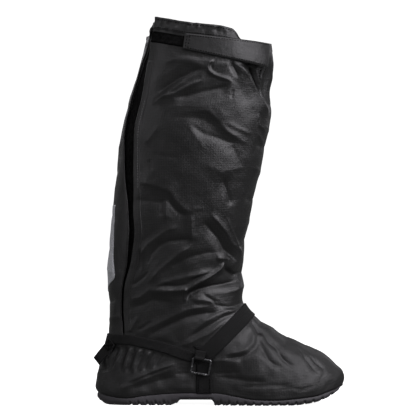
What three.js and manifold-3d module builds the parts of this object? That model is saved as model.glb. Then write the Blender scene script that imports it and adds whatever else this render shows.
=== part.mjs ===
// Waterproof overshoe for a right foot, pulled over a boot in the rain and strapped at the ankle.
// Millimetres, +Z up, +X to the toe, +Y to the inner side of the foot.
// The origin is on the floor under the heel.
import * as THREE from 'three';
import { mergeVertices } from 'three/addons/utils/BufferGeometryUtils.js';
import Module from 'manifold-3d';

const wasm = await Module();
wasm.setup();

// Sizes of the sole
const SOLE_LENGTH = 311;
const HEEL_BEHIND = 38; // from the origin back to the heel end of the sole
const BALL_WIDTH = 116;
const EDGE_HEIGHT = 15.6; // top of the side band at the arch
const TOE_SPRING = 20;
const ARCH_LIFT = 7.2;
const SHEET = 3; // rubber sheet between the lugs and the inside
const TREAD_DEPTH = 3;
const RIM_WIDTH = 3.5;
const BAND_BULGE = 0.8;
const BOTTOM_INSET = 1.5;
const LUG_WIDTH = 7;
const LUG_PITCH = 10.5;
const LUG_BEND = 9; // how far the middle of a lug points forward
const HEEL_BLOCK_FRONT = 8; // where the smooth heel block ends, ahead of the origin

// Sizes of the cloth upper
const INSTEP_HEIGHT = 125;
const COLLAR_HEIGHT = 466;
const SHAFT_BACK = -24; // the back of the ankle
const SHAFT_DEPTH = 170; // ankle, back to front
const CALF_WIDTH = 120;
const FLAP_RISE = 24; // how far the outer side stands above the back of the collar
const CLOTH = 1.5;
const GAP = 0.3; // between pieces that touch

// Sizes of what is sewn on
const TAPE_THICKNESS = 1;
const TAPE_MARGIN = 5; // the closure tape reaches this far behind each edge of the opening
const HEM_WIDTH = 9;
const COLLAR_BAND_HEIGHT = 15;
const PATCH_WIDTH = 14;
const PATCH_DROP = 18; // top of the pile patch below the collar edge
const PATCH_LENGTH = 78;
const COLLAR_STRAP_END_WIDTH = 20;
const COLLAR_STRAP_ROOT_WIDTH = 31;
const SEAM_WIDTH = 6;
const SEAM_LENGTH = 46;
const REFLECTIVE_WIDTH = 62;
const REFLECTIVE_THICKNESS = 0.6;
const WEBBING_WIDTH = 20;
const WEBBING_THICKNESS = 1.5;
const HEEL_STRAP_WIDTH = 13;
const BUCKLE_WIDTH = 25;
const BUCKLE_HEIGHT = 21;
const BUCKLE_ROD = 2.4;
const BUCKLE_TURN = 10; // degrees, as the straps pull it
const BUCKLE_CORNER = 3;
const TAB_WIDTH = 15;
const TAB_LENGTH = 35;
const TAB_THICKNESS = 3;
const TAB_LEAN = 38; // degrees, as it hangs down and back
const TAB_FLARE = 7; // degrees off the heel

// Plan of the sole. at: share of the length from the heel. outer, inner: factors on the half ball width.
// shift: how far the centre line lies to the inner side, as a share of the half ball width.
const PLAN = [
  { at: 0.0, outer: 0.8, inner: 0.8, shift: 0.0 },
  { at: 0.12, outer: 0.92, inner: 0.92, shift: 0.0 },
  { at: 0.25, outer: 0.82, inner: 0.81, shift: 0.0 },
  { at: 0.42, outer: 0.79, inner: 0.72, shift: 0.01 },
  { at: 0.55, outer: 0.91, inner: 0.84, shift: 0.02 },
  { at: 0.68, outer: 1.03, inner: 1.0, shift: 0.03 },
  { at: 0.82, outer: 1.04, inner: 1.06, shift: 0.05 },
  { at: 0.92, outer: 1.0, inner: 1.06, shift: 0.07 },
  { at: 1.0, outer: 0.95, inner: 1.0, shift: 0.08 },
];

// Side view of the sole. ground: the tread's lowest line, share of the toe spring.
// edge: top of the side band, share of the edge height.
const PROFILE = [
  { at: 0.0, ground: 0.25, edge: 0.96 },
  { at: 0.026, ground: 0.06, edge: 0.82 },
  { at: 0.045, ground: 0.0, edge: 0.73 },
  { at: 0.12, ground: 0.0, edge: 0.58 },
  { at: 0.18, ground: 0.0, edge: 0.75 },
  { at: 0.27, ground: 0.0, edge: 0.93 },
  { at: 0.36, ground: 0.0, edge: 1.0 },
  { at: 0.48, ground: 0.0, edge: 1.0 },
  { at: 0.56, ground: 0.0, edge: 0.75 },
  { at: 0.63, ground: 0.0, edge: 0.51 },
  { at: 0.72, ground: 0.0, edge: 0.44 },
  { at: 0.8, ground: 0.0, edge: 0.54 },
  { at: 0.84, ground: 0.065, edge: 0.62 },
  { at: 0.895, ground: 0.2, edge: 0.78 },
  { at: 0.944, ground: 0.475, edge: 1.1 },
  { at: 0.968, ground: 0.68, edge: 1.26 },
  { at: 1.0, ground: 1.0, edge: 1.54 },
];
const ARCH = { start: 0.32, end: 0.478, ramp: 0.016 }; // shares of the sole's length

// Sections of the foot, sole edge first. back, front: shares of the sole's length from the heel.
// low, high: heights there, shares of the instep height. wide: share of the half ball width.
// sole: how far the plan follows the sole's. wave: how far the height follows the side band.
// power: 2 is an ellipse, more is blunter.
const FOOT = [
  { back: 0.0, front: 1.0, low: 0.12, high: 0.192, wide: 0.98, sole: 1, wave: 1, power: 2.5 },
  { back: -0.0084, front: 1.0075, low: 0.16, high: 0.27, wide: 1.01, sole: 1, wave: 0.8, power: 2.5 },
  { back: -0.0065, front: 0.998, low: 0.24, high: 0.345, wide: 1.0, sole: 0.95, wave: 0.55, power: 2.45 },
  { back: -0.003, front: 0.97, low: 0.305, high: 0.415, wide: 0.98, sole: 0.85, wave: 0.3, power: 2.4 },
  { back: 0.0, front: 0.924, low: 0.37, high: 0.51, wide: 0.955, sole: 0.7, wave: 0.12, power: 2.35 },
  { back: 0.0065, front: 0.87, low: 0.43, high: 0.572, wide: 0.93, sole: 0.55, wave: 0, power: 2.3 },
  { back: 0.0145, front: 0.797, low: 0.5, high: 0.655, wide: 0.9, sole: 0.4, wave: 0, power: 2.25 },
  { back: 0.026, front: 0.729, low: 0.565, high: 0.742, wide: 0.87, sole: 0.3, wave: 0, power: 2.2 },
  { back: 0.037, front: 0.665, low: 0.64, high: 0.85, wide: 0.85, sole: 0.2, wave: 0, power: 2.2 },
  { back: 0.045, front: 0.616, low: 0.735, high: 0.95, wide: 0.83, sole: 0.1, wave: 0, power: 2.2 },
];

// Sections of the shaft, ankle first. back, front: shares of the ankle depth ahead of the ankle's back.
// low, high: heights at back and front, shares of the way from instep to collar.
// wide: share of the half calf width.
const SHAFT = [
  { back: 0.009, front: 1.0, low: -0.056, high: 0.026, wide: 0.79 },
  { back: 0.006, front: 1.003, low: 0.003, high: 0.079, wide: 0.81 },
  { back: -0.003, front: 1.0, low: 0.073, high: 0.138, wide: 0.85 },
  { back: -0.002, front: 1.012, low: 0.161, high: 0.22, wide: 0.89 },
  { back: 0.015, front: 1.041, low: 0.264, high: 0.305, wide: 0.94 },
  { back: 0.033, front: 1.086, low: 0.372, high: 0.406, wide: 0.98 },
  { back: 0.05, front: 1.12, low: 0.469, high: 0.484, wide: 1.0 },
  { back: 0.071, front: 1.162, low: 0.566, high: 0.566, wide: 1.0 },
  { back: 0.1, front: 1.191, low: 0.66, high: 0.645, wide: 0.99 },
  { back: 0.145, front: 1.218, low: 0.757, high: 0.721, wide: 0.97 },
  { back: 0.182, front: 1.203, low: 0.812, high: 0.789, wide: 0.95 },
  { back: 0.219, front: 1.218, low: 0.868, high: 0.839, wide: 0.93 },
  { back: 0.249, front: 1.232, low: 0.924, high: 0.903, wide: 0.9 },
  { back: 0.288, front: 1.209, low: 1.0, high: 0.969, wide: 0.86 },
];
const SHAFT_POWER = 2.2;

// Extra height of the collar edge. around: turn from the back by the outer side. rise: share of FLAP_RISE.
const COLLAR_EDGE = [
  { around: 0.0, rise: 0 },
  { around: 0.045, rise: 0 },
  { around: 0.08, rise: 1 },
  { around: 0.2, rise: 0.8 },
  { around: 0.305, rise: 0.62 },
  { around: 0.335, rise: 0.1 },
  { around: 0.5, rise: 0 },
  { around: 0.75, rise: 0.2 },
  { around: 1.0, rise: 0 },
];
const RISE_ROWS = 4; // the extra height grows over this many sections

// The long opening behind the outer side. up: share of the collar height.
// middle, half: its centre and half width in turns from the back.
const OPENING = [
  { up: 0.19, middle: 0.112, half: 0.0035 },
  { up: 0.25, middle: 0.106, half: 0.0045 },
  { up: 0.32, middle: 0.116, half: 0.0045 },
  { up: 0.385, middle: 0.134, half: 0.0065 },
  { up: 0.45, middle: 0.136, half: 0.009 },
  { up: 0.52, middle: 0.125, half: 0.009 },
  { up: 0.6, middle: 0.108, half: 0.016 },
  { up: 0.68, middle: 0.09, half: 0.022 },
  { up: 0.76, middle: 0.074, half: 0.029 },
  { up: 0.84, middle: 0.07, half: 0.031 },
  { up: 0.92, middle: 0.061, half: 0.031 },
  { up: 1.0, middle: 0.066, half: 0.02 },
  { up: 1.05, middle: 0.078, half: 0.01 },
];

// Main folds. side: -1 outer, 1 inner. x: share of the ankle depth ahead of the ankle's back.
// z: share of the way from instep to collar. long, short: radii, shares of the ankle depth.
// tilt: degrees of the long axis from level. depth: share of the half calf width.
const FOLDS = [
  { side: -1, x: 1.14, z: 0.88, long: 0.26, short: 0.085, tilt: -70, depth: 0.2 },
  { side: -1, x: 0.75, z: 0.67, long: 0.15, short: 0.07, tilt: -35, depth: 0.06 },
  { side: -1, x: 0.69, z: 0.82, long: 0.17, short: 0.06, tilt: 25, depth: 0.06 },
  { side: -1, x: 0.9, z: 0.11, long: 0.11, short: 0.07, tilt: 0, depth: 0.08 },
  { side: 1, x: 1.06, z: 0.87, long: 0.2, short: 0.09, tilt: -65, depth: 0.12 },
  { side: 1, x: 0.6, z: 0.6, long: 0.18, short: 0.07, tilt: 35, depth: 0.06 },
  { side: 1, x: 0.85, z: 0.12, long: 0.11, short: 0.07, tilt: 10, depth: 0.07 },
];

// Strap routes in the side view, as shares. x: of the sole's length from the heel. z: of the instep height.
const INSTEP_ROUTE = [
  { x: 0.68, z: 1.12 },
  { x: 0.604, z: 0.916 },
  { x: 0.432, z: 0.49 },
];
const HEEL_ROUTE = [
  { x: -0.03, z: 0.65 },
  { x: 0.06, z: 0.662 },
  { x: 0.14, z: 0.655 },
  { x: 0.2, z: 0.625 },
  { x: 0.27, z: 0.585 },
  { x: 0.33, z: 0.53 },
  { x: 0.42, z: 0.46 },
];
const BUCKLE_AT = { x: 0.423, z: 0.4 };
const SIDE_STRAP_AT = 0.435; // share of the sole's length
const TAB_AT = { x: 0.078, z: 0.6 };

// Places round the shoe, as turns from the back by the outer side
const OPENING_TURN = 0.1; // about where the opening lies, to measure along it
const COLLAR_BAND_END = 0.36;
const COLLAR_STRAP_END = 0.19;
const PATCH_LINE_END = 0.3; // the collar's line is followed this far for the patch, which ends before it
const FRONT_SEAM_TURN = 0.44;
// How far the closing tape passes the opening at its foot and stops short of the collar, in sections
const TAPE_FOOT = 0.3;
const TAPE_HEAD = 0.2;
// Steps that a patch of the skin is cut into upward, along the whole shaft and along the front seam
const SHAFT_STEPS = 12;
const SEAM_STEPS = 6;

const AROUND = 40;
const SHAFT_RINGS = 22; // rings of points from the ankle to the collar
const REACH = 200; // cutters reach this far past the shoe
const PAST_COLLAR = 20; // height of one more row above the collar, for cutters
const PATCH_DEPTH = 6 * CLOTH; // cutters that follow the skin reach this far each way

const lerp = (a, b, t) => a + (b - a) * t;
const clamp = (value, low, high) => Math.min(high, Math.max(low, value));
const smooth = (t) => clamp(t, 0, 1) ** 2 * (3 - 2 * clamp(t, 0, 1));
const soleX = (share) => share * SOLE_LENGTH - HEEL_BEHIND;
const soleShare = (x) => clamp((x + HEEL_BEHIND) / SOLE_LENGTH, 0, 1);
const instepZ = (share) => share * INSTEP_HEIGHT;
const shaftX = (share) => SHAFT_BACK + share * SHAFT_DEPTH;
const shaftZ = (share) => lerp(INSTEP_HEIGHT, COLLAR_HEIGHT, share);

// Reads a column of a table between its rows, with no overshoot.
function read(table, key, at, column) {
  const last = table.length - 1;
  let i = 0;
  while (i < last - 1 && at > table[i + 1][key]) i += 1;
  const slope = (j) => {
    if (j < 0 || j >= last) return 0;
    return (table[j + 1][column] - table[j][column]) / (table[j + 1][key] - table[j][key]);
  };
  const tangent = (j) => (slope(j - 1) * slope(j) > 0 ? Math.min(
    Math.abs(slope(j - 1) + slope(j)) / 2,
    3 * Math.abs(slope(j - 1)),
    3 * Math.abs(slope(j)),
  ) * Math.sign(slope(j)) : 0);
  const span = table[i + 1][key] - table[i][key];
  const t = clamp((at - table[i][key]) / span, 0, 1);
  const from = table[i][column];
  const to = table[i + 1][column];
  const bend = t * (1 - t) * span * ((1 - t) * tangent(i) - t * tangent(i + 1));
  return lerp(from, to, smooth(t)) + bend;
}

const edgeZ = (x) => read(PROFILE, 'at', soleShare(x), 'edge') * EDGE_HEIGHT;
const groundZ = (x) => read(PROFILE, 'at', soleShare(x), 'ground') * TOE_SPRING;
const archShare = (x) => smooth((soleShare(x) - ARCH.start) / ARCH.ramp)
  * smooth((ARCH.end - soleShare(x)) / ARCH.ramp);
const underZ = (x) => lerp(groundZ(x) + TREAD_DEPTH, ARCH_LIFT, archShare(x));

// All sections in millimetres, sole edge first.
const SECTIONS = [
  ...FOOT.map((row) => ({
    back: soleX(row.back),
    front: soleX(row.front),
    low: instepZ(row.low),
    high: instepZ(row.high),
    wide: row.wide * BALL_WIDTH / 2,
    sole: row.sole,
    wave: row.wave,
    power: row.power,
  })),
  ...SHAFT.map((row) => ({
    back: shaftX(row.back),
    front: shaftX(row.front),
    low: shaftZ(row.low),
    high: shaftZ(row.high),
    wide: row.wide * CALF_WIDTH / 2,
    sole: 0,
    wave: 0,
    power: SHAFT_POWER,
  })),
];
SECTIONS[0].low = edgeZ(soleX(0));
SECTIONS[0].high = edgeZ(soleX(1));
const TOP_ROW = SECTIONS.length - 1;

// Section at any row number, by Catmull-Rom between its neighbours.
function sectionAt(v) {
  const i = clamp(Math.floor(v), 0, TOP_ROW - 1);
  const t = v - i;
  const rows = [i - 1, i, i + 1, i + 2].map((j) => SECTIONS[clamp(j, 0, TOP_ROW)]);
  const made = {};
  for (const key of Object.keys(SECTIONS[0])) {
    const [a, b, c, d] = rows.map((row) => row[key]);
    made[key] = b + t / 2 * (c - a + t * (2 * a - 5 * b + 4 * c - d + t * (3 * (b - c) + d - a)));
  }
  return made;
}

// A point of the plan of one section: its share of the way to the front and its sideways share.
function planPoint(u, section) {
  const c = Math.cos(2 * Math.PI * u);
  const s = Math.sin(2 * Math.PI * u);
  const along = (1 - Math.sign(c) * Math.abs(c) ** (2 / section.power)) / 2;
  const out = Math.sign(s) * Math.abs(s) ** (2 / section.power);
  const half = read(PLAN, 'at', along, s > 0 ? 'outer' : 'inner');
  const shift = read(PLAN, 'at', along, 'shift') * BALL_WIDTH / 2;
  return {
    along,
    y: section.sole * shift - out * section.wide * lerp(1, half, section.sole),
  };
}

// The smooth outside of the upper: u turns from the back by the outer side, v counts the sections.
function bareSkin(u, v) {
  const section = sectionAt(Math.min(v, TOP_ROW));
  const { along, y } = planPoint(u, section);
  const x = lerp(section.back, section.front, along);
  const band = edgeZ(x) - lerp(edgeZ(soleX(0)), edgeZ(soleX(1)), along);
  const turn = u - Math.floor(u);
  const rise = read(COLLAR_EDGE, 'around', turn, 'rise') * FLAP_RISE;
  const grown = smooth((v - TOP_ROW + RISE_ROWS) / RISE_ROWS);
  const past = Math.max(0, v - TOP_ROW) * PAST_COLLAR;
  const level = lerp(section.low, section.high, along) + section.wave * band;
  return new THREE.Vector3(x, y, level + rise * grown + past);
}

function bareNormal(u, v) {
  const step = 1e-3;
  const row = clamp(v, step, TOP_ROW - step);
  const across = bareSkin(u + step, row).sub(bareSkin(u - step, row));
  const up = bareSkin(u, row + step).sub(bareSkin(u, row - step));
  return across.cross(up).normalize();
}

// Depth of the main folds at a point of the skin.
function foldDepth(point) {
  let depth = 0;
  for (const fold of FOLDS) {
    if (Math.sign(point.y) !== fold.side) continue;
    const tilt = THREE.MathUtils.degToRad(fold.tilt);
    const dx = point.x - shaftX(fold.x);
    const dz = point.z - shaftZ(fold.z);
    const along = (dx * Math.cos(tilt) + dz * Math.sin(tilt)) / (fold.long * SHAFT_DEPTH);
    const across = (dz * Math.cos(tilt) - dx * Math.sin(tilt)) / (fold.short * SHAFT_DEPTH);
    const fade = smooth(Math.abs(point.y) / (CALF_WIDTH / 8));
    depth += fade * fold.depth * CALF_WIDTH / 2 * Math.exp(-along * along - across * across);
  }
  return depth;
}

// The skin moved out by a distance, with its folds or bridging them.
function skin(u, v, out, folded = true) {
  const point = bareSkin(u, v);
  const depth = folded ? foldDepth(point) : 0;
  return point.addScaledVector(bareNormal(u, v), out - depth);
}

// Turns a list of points and triangles into a solid.
function solidFrom(points, triangles) {
  const flat = new Float32Array(points.flatMap((p) => [p.x, p.y, p.z]));
  return new wasm.Manifold(new wasm.Mesh({
    numProp: 3,
    vertProperties: flat,
    triVerts: new Uint32Array(triangles.flat()),
  }));
}

function solidOf(geometry) {
  const bare = geometry.index ? geometry.toNonIndexed() : geometry.clone();
  bare.deleteAttribute('normal');
  bare.deleteAttribute('uv');
  const merged = mergeVertices(bare, 1e-4);
  return new wasm.Manifold(new wasm.Mesh({
    numProp: 3,
    vertProperties: merged.attributes.position.array,
    triVerts: new Uint32Array(merged.index.array),
  }));
}

function geometryOf(solid) {
  const made = solid.getMesh();
  const points = new Float32Array(made.numVert * 3);
  for (let i = 0; i < made.numVert; i += 1) {
    points.set(made.vertProperties.subarray(i * made.numProp, i * made.numProp + 3), i * 3);
  }
  const geometry = new THREE.BufferGeometry();
  geometry.setAttribute('position', new THREE.BufferAttribute(points, 3));
  geometry.setIndex(new THREE.BufferAttribute(made.triVerts, 1));
  geometry.computeVertexNormals();
  return geometry;
}

const unite = (solids) => solids.reduce((sum, one) => sum.add(one));

// Rings that go up outside and down inside become a tube wall.
// Both faces split their cells along the same diagonal, so nested walls stay parallel.
function loopOfRings(rings) {
  const around = rings[0].length;
  const triangles = [];
  rings.forEach((ring, j) => {
    const next = (j + 1) % rings.length;
    const goesUp = j < rings.length / 2;
    ring.forEach((_, i) => {
      const side = (i + 1) % around;
      const [a, b, c, d] = [j * around + i, j * around + side, next * around + side, next * around + i];
      if (goesUp) triangles.push([a, b, c], [a, c, d]);
      else triangles.push([a, b, d], [b, c, d]);
    });
  });
  return solidFrom(rings.flat(), triangles);
}

// Rings, lowest first, with a cap of strips across the first and the last.
// Every ring starts at the back, so point i faces point -i across the shoe.
function stackOfRings(rings) {
  const around = rings[0].length;
  const triangles = [];
  for (let j = 0; j + 1 < rings.length; j += 1) {
    for (let i = 0; i < around; i += 1) {
      const side = (i + 1) % around;
      const [a, b] = [j * around + i, j * around + side];
      triangles.push([a, b, b + around], [a, b + around, a + around]);
    }
  }
  const cap = (first, up) => {
    const strips = [];
    const half = around / 2;
    for (let i = 0; i < half; i += 1) {
      const [a, b] = [i, i + 1];
      const [c, d] = [(around - i - 1) % around, (around - i) % around];
      if (i > 0) strips.push([a, c, d]);
      if (i < half - 1) strips.push([a, b, c]);
    }
    strips.forEach((strip) => {
      const [a, b, c] = strip.map((index) => index + first);
      triangles.push(up ? [a, b, c] : [a, c, b]);
    });
  };
  cap(0, false);
  cap((rings.length - 1) * around, true);
  return solidFrom(rings.flat(), triangles);
}

const turns = Array.from({ length: AROUND }, (_, i) => i / AROUND);
const rowsOfShape = [
  ...FOOT.keys(),
  ...Array.from({ length: SHAFT_RINGS }, (_, i) => lerp(FOOT.length, TOP_ROW, i / (SHAFT_RINGS - 1))),
];

// The space between the skin moved out by two distances.
function wall(low, high, folded = true) {
  const ring = (v, out) => turns.map((u) => skin(u, v, out, folded));
  const outside = rowsOfShape.map((v) => ring(v, high));
  const inside = rowsOfShape.map((v) => ring(v, low)).reverse();
  return loopOfRings([...outside, ...inside]);
}

// A thick patch across the skin between two lines of turns, from one row to another, to cut or to keep.
function patch({ from, to, bottom, top, wide = 2, tall = SHAFT_STEPS }) {
  const grid = (out) => Array.from({ length: tall + 1 }, (_, j) => {
    const v = lerp(bottom, top, j / tall);
    return Array.from({ length: wide + 1 }, (__, i) => skin(lerp(from(v), to(v), i / wide), v, out));
  });
  const [inner, outer] = [grid(-PATCH_DEPTH), grid(PATCH_DEPTH)];
  const rings = outer.map((row, j) => [...row, ...inner[j].slice().reverse()]);
  const around = rings[0].length;
  const triangles = [];
  for (let j = 0; j < tall; j += 1) {
    for (let i = 0; i < around; i += 1) {
      const side = (i + 1) % around;
      const [a, b] = [j * around + i, j * around + side];
      triangles.push([a, b, b + around], [a, b + around, a + around]);
    }
  }
  for (let i = 0; i < wide; i += 1) {
    const [a, b, c, d] = [i, i + 1, around - 2 - i, around - 1 - i];
    triangles.push([a, c, b], [a, d, c]);
    const up = [a, b, c, d].map((index) => index + tall * around);
    triangles.push([up[0], up[1], up[2]], [up[0], up[2], up[3]]);
  }
  return solidFrom(rings.flat(), triangles);
}

// The row whose back or side reaches a height, found by halving.
function rowAtHeight(height, u = 0) {
  let [low, high] = [0, TOP_ROW];
  for (let i = 0; i < 30; i += 1) {
    const middle = (low + high) / 2;
    if (bareSkin(u, middle).z < height) low = middle;
    else high = middle;
  }
  return (low + high) / 2;
}

// Where the skin of one side shows at a point of the side view.
function skinAt(x, z, side) {
  let u = side < 0 ? 0.25 : 0.75;
  let v = TOP_ROW / 2;
  const step = 1e-3;
  for (let i = 0; i < 60; i += 1) {
    const at = bareSkin(u, v);
    const du = bareSkin(u + step, v).sub(at).divideScalar(step);
    const dv = bareSkin(u, v + step).sub(at).divideScalar(step);
    const det = du.x * dv.z - du.z * dv.x;
    const [ex, ez] = [x - at.x, z - at.z];
    u += clamp((ex * dv.z - ez * dv.x) / det, -0.05, 0.05);
    v = clamp(v + clamp((du.x * ez - du.z * ex) / det, -1, 1), 0, TOP_ROW - step);
  }
  return { u, v };
}

// A side-view outline, cut through the outer side, the inner side or both.
function sidePrism(outline, side) {
  const shape = new THREE.Shape(outline.map((p) => new THREE.Vector2(p.x, p.z)));
  const prism = new THREE.ExtrudeGeometry(shape, { depth: REACH * (side ? 1 : 2), bevelEnabled: false });
  prism.rotateX(Math.PI / 2); // now it reaches from 0 towards -Y
  if (side !== -1) prism.translate(0, REACH, 0);
  return solidOf(prism);
}

// The outline of a strap of some width along a route in the side view.
function bandOutline(route, widths) {
  const left = [];
  const right = [];
  route.forEach((p, i) => {
    const before = route[Math.max(0, i - 1)];
    const after = route[Math.min(route.length - 1, i + 1)];
    const along = new THREE.Vector2(after.x - before.x, after.z - before.z).normalize();
    const half = (Array.isArray(widths) ? widths[i] : widths) / 2;
    left.push({ x: p.x - along.y * half, z: p.z + along.x * half });
    right.push({ x: p.x + along.y * half, z: p.z - along.x * half });
  });
  return [...left, ...right.reverse()];
}

const footRoute = (route) => route.map((p) => ({ x: soleX(p.x), z: instepZ(p.z) }));

// Outline of the sole at a distance inside its edge, at the height that a function gives.
function soleRing(inset, height) {
  const section = SECTIONS[0];
  return turns.map((u) => {
    const at = planPoint(u, section);
    const x = lerp(section.back, section.front, at.along);
    const normal = bareNormal(u, 0).setZ(0).normalize();
    const point = new THREE.Vector3(x, at.y, 0).addScaledVector(normal, -inset);
    return point.setZ(height(point.x));
  });
}

function lugOutlines() {
  const outlines = [];
  const half = BALL_WIDTH / 2 + LUG_WIDTH;
  const bar = (x) => outlines.push([
    [x - LUG_BEND, -half], [x, 0], [x - LUG_BEND, half],
    [x - LUG_BEND + LUG_WIDTH, half], [x + LUG_WIDTH, 0], [x - LUG_BEND + LUG_WIDTH, -half],
  ]);
  const blockBack = soleX(0) - LUG_BEND;
  outlines.push([
    [blockBack, -half], [blockBack, half], [HEEL_BLOCK_FRONT - LUG_BEND, half],
    [HEEL_BLOCK_FRONT, 0], [HEEL_BLOCK_FRONT - LUG_BEND, -half],
  ]);
  const heelEnd = soleX(ARCH.start);
  for (let x = HEEL_BLOCK_FRONT + LUG_PITCH - LUG_WIDTH; x < heelEnd; x += LUG_PITCH) bar(x);
  for (let x = soleX(ARCH.end + ARCH.ramp); x < soleX(1); x += LUG_PITCH) bar(x);
  return outlines;
}

// Rubber sole: a sheet with a rim, an arch, a turned-up toe and bent lugs.
function makeOutsole() {
  const rimTop = (x) => edgeZ(x) - GAP;
  const middle = (x) => lerp(underZ(x), rimTop(x), 0.5);
  const body = stackOfRings([
    soleRing(BOTTOM_INSET, underZ),
    soleRing(-BAND_BULGE, middle),
    soleRing(0, rimTop),
  ]);
  const tray = stackOfRings([
    soleRing(RIM_WIDTH, (x) => underZ(x) + Math.min(SHEET, (rimTop(x) - underZ(x)) / 2)),
    soleRing(RIM_WIDTH, (x) => rimTop(x) + EDGE_HEIGHT),
  ]);
  const tread = stackOfRings([
    soleRing(BOTTOM_INSET + TREAD_DEPTH / 4, groundZ),
    soleRing(BOTTOM_INSET, (x) => lerp(underZ(x), rimTop(x), 0.2)),
  ]);
  const lugs = lugOutlines().map((outline) => {
    const shape = new THREE.Shape(outline.map(([x, y]) => new THREE.Vector2(x, y)));
    const bars = new THREE.ExtrudeGeometry(shape, { depth: REACH, bevelEnabled: false });
    return solidOf(bars.translate(0, 0, -REACH / 2)).intersect(tread);
  });
  return body.add(unite(lugs)).subtract(tray);
}

const openingLine = (side) => (v) => {
  const up = bareSkin(OPENING_TURN, v).z / COLLAR_HEIGHT;
  return read(OPENING, 'up', up, 'middle') + side * read(OPENING, 'up', up, 'half');
};
const openingBottom = rowAtHeight(OPENING[0].up * COLLAR_HEIGHT, OPENING_TURN);
const openingEdge = openingLine(1)(TOP_ROW);
const turnsPerMillimetre = (v) => {
  const step = 1e-3;
  return step / bareSkin(OPENING_TURN + step, v).distanceTo(bareSkin(OPENING_TURN, v));
};

// Cloth from sole to collar, with the long opening cut down its back corner.
function makeUpper() {
  const cutter = patch({
    from: openingLine(-1),
    to: openingLine(1),
    bottom: openingBottom,
    top: TOP_ROW + 1,
  });
  return wall(-CLOTH, 0).subtract(cutter);
}

// Hook-and-loop tape that closes the opening from inside.
function makeClosureTape() {
  const margin = (side) => (v) => openingLine(side)(v) + side * TAPE_MARGIN * turnsPerMillimetre(v);
  const kept = patch({
    from: margin(-1),
    to: margin(1),
    bottom: openingBottom - TAPE_FOOT,
    top: TOP_ROW - TAPE_HEAD,
  });
  return wall(-CLOTH - GAP - TAPE_THICKNESS, -CLOTH - GAP).intersect(kept);
}

// Turned hem along the front edge of the opening.
function makeOpeningHem() {
  const kept = patch({
    from: openingLine(1),
    to: (v) => openingLine(1)(v) + HEM_WIDTH * turnsPerMillimetre(v),
    bottom: openingBottom,
    top: rowAtHeight(COLLAR_HEIGHT - PATCH_DROP - PATCH_WIDTH, OPENING_TURN),
  });
  return wall(GAP, GAP + TAPE_THICKNESS).intersect(kept);
}

// The line of the collar edge in the side view, lowered by a distance.
function collarLine(from, to, drop, steps = 8) {
  return Array.from({ length: steps + 1 }, (_, i) => {
    const point = bareSkin(lerp(from, to, i / steps), TOP_ROW);
    return { x: point.x, z: point.z - drop };
  });
}

// Double hem round the top of the outer side.
function makeCollarBand() {
  const start = openingEdge;
  const end = COLLAR_BAND_END;
  const outline = [
    ...collarLine(start, end, -COLLAR_BAND_HEIGHT),
    ...collarLine(start, end, COLLAR_BAND_HEIGHT).reverse(),
  ];
  return wall(GAP, GAP + TAPE_THICKNESS).intersect(sidePrism(outline, -1));
}

// Black pile tape that the collar strap sticks to.
function makePilePatch() {
  const top = collarLine(openingEdge, PATCH_LINE_END, PATCH_DROP);
  const start = top[0].x;
  const kept = top.filter((p) => p.x < start + PATCH_LENGTH);
  const outline = [...kept, ...kept.map((p) => ({ x: p.x, z: p.z - PATCH_WIDTH })).reverse()];
  return wall(GAP, GAP + TAPE_THICKNESS).intersect(sidePrism(outline, -1));
}

// Raised seam at the front, where the collar strap is sewn in.
function makeFrontSeam() {
  const half = () => SEAM_WIDTH / 2 * turnsPerMillimetre(TOP_ROW);
  const kept = patch({
    from: () => FRONT_SEAM_TURN - half(),
    to: () => FRONT_SEAM_TURN + half(),
    bottom: rowAtHeight(bareSkin(FRONT_SEAM_TURN, TOP_ROW).z - SEAM_LENGTH, FRONT_SEAM_TURN),
    top: TOP_ROW + 1,
    tall: SEAM_STEPS,
  });
  return wall(GAP, GAP + TAPE_THICKNESS).intersect(kept);
}

// Tapered strap across the collar, from the front seam back over the pile patch.
function makeCollarStrap() {
  const root = bareSkin(FRONT_SEAM_TURN, TOP_ROW);
  const end = bareSkin(COLLAR_STRAP_END, TOP_ROW);
  const drop = PATCH_DROP - (COLLAR_STRAP_END_WIDTH - PATCH_WIDTH) / 2;
  const route = [
    { x: root.x + SEAM_WIDTH / 4, z: root.z - COLLAR_STRAP_ROOT_WIDTH / 2 },
    { x: end.x, z: end.z - drop - COLLAR_STRAP_END_WIDTH / 2 },
  ];
  const outline = bandOutline(route, [COLLAR_STRAP_ROOT_WIDTH, COLLAR_STRAP_END_WIDTH]);
  const low = GAP + TAPE_THICKNESS + GAP;
  return wall(low, low + WEBBING_THICKNESS, false).intersect(sidePrism(outline, -1));
}

// Reflective kite across the back. up: height share, half: half width share.
const REFLECTIVE = [
  { up: 0.305, half: 0.02 },
  { up: 0.345, half: 1.0 },
  { up: 0.4, half: 0.7 },
  { up: 0.54, half: 0.38 },
];

function makeReflectivePanel() {
  const half = (v) => {
    const up = bareSkin(0, v).z / COLLAR_HEIGHT;
    return read(REFLECTIVE, 'up', up, 'half') * REFLECTIVE_WIDTH / 2 * turnsPerMillimetre(v);
  };
  const kept = patch({
    from: (v) => -half(v),
    to: half,
    bottom: rowAtHeight(REFLECTIVE[0].up * COLLAR_HEIGHT),
    top: rowAtHeight(REFLECTIVE[REFLECTIVE.length - 1].up * COLLAR_HEIGHT),
  });
  return wall(GAP, GAP + REFLECTIVE_THICKNESS).intersect(kept);
}

const strapLayer = () => wall(GAP, GAP + WEBBING_THICKNESS, false);

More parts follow.
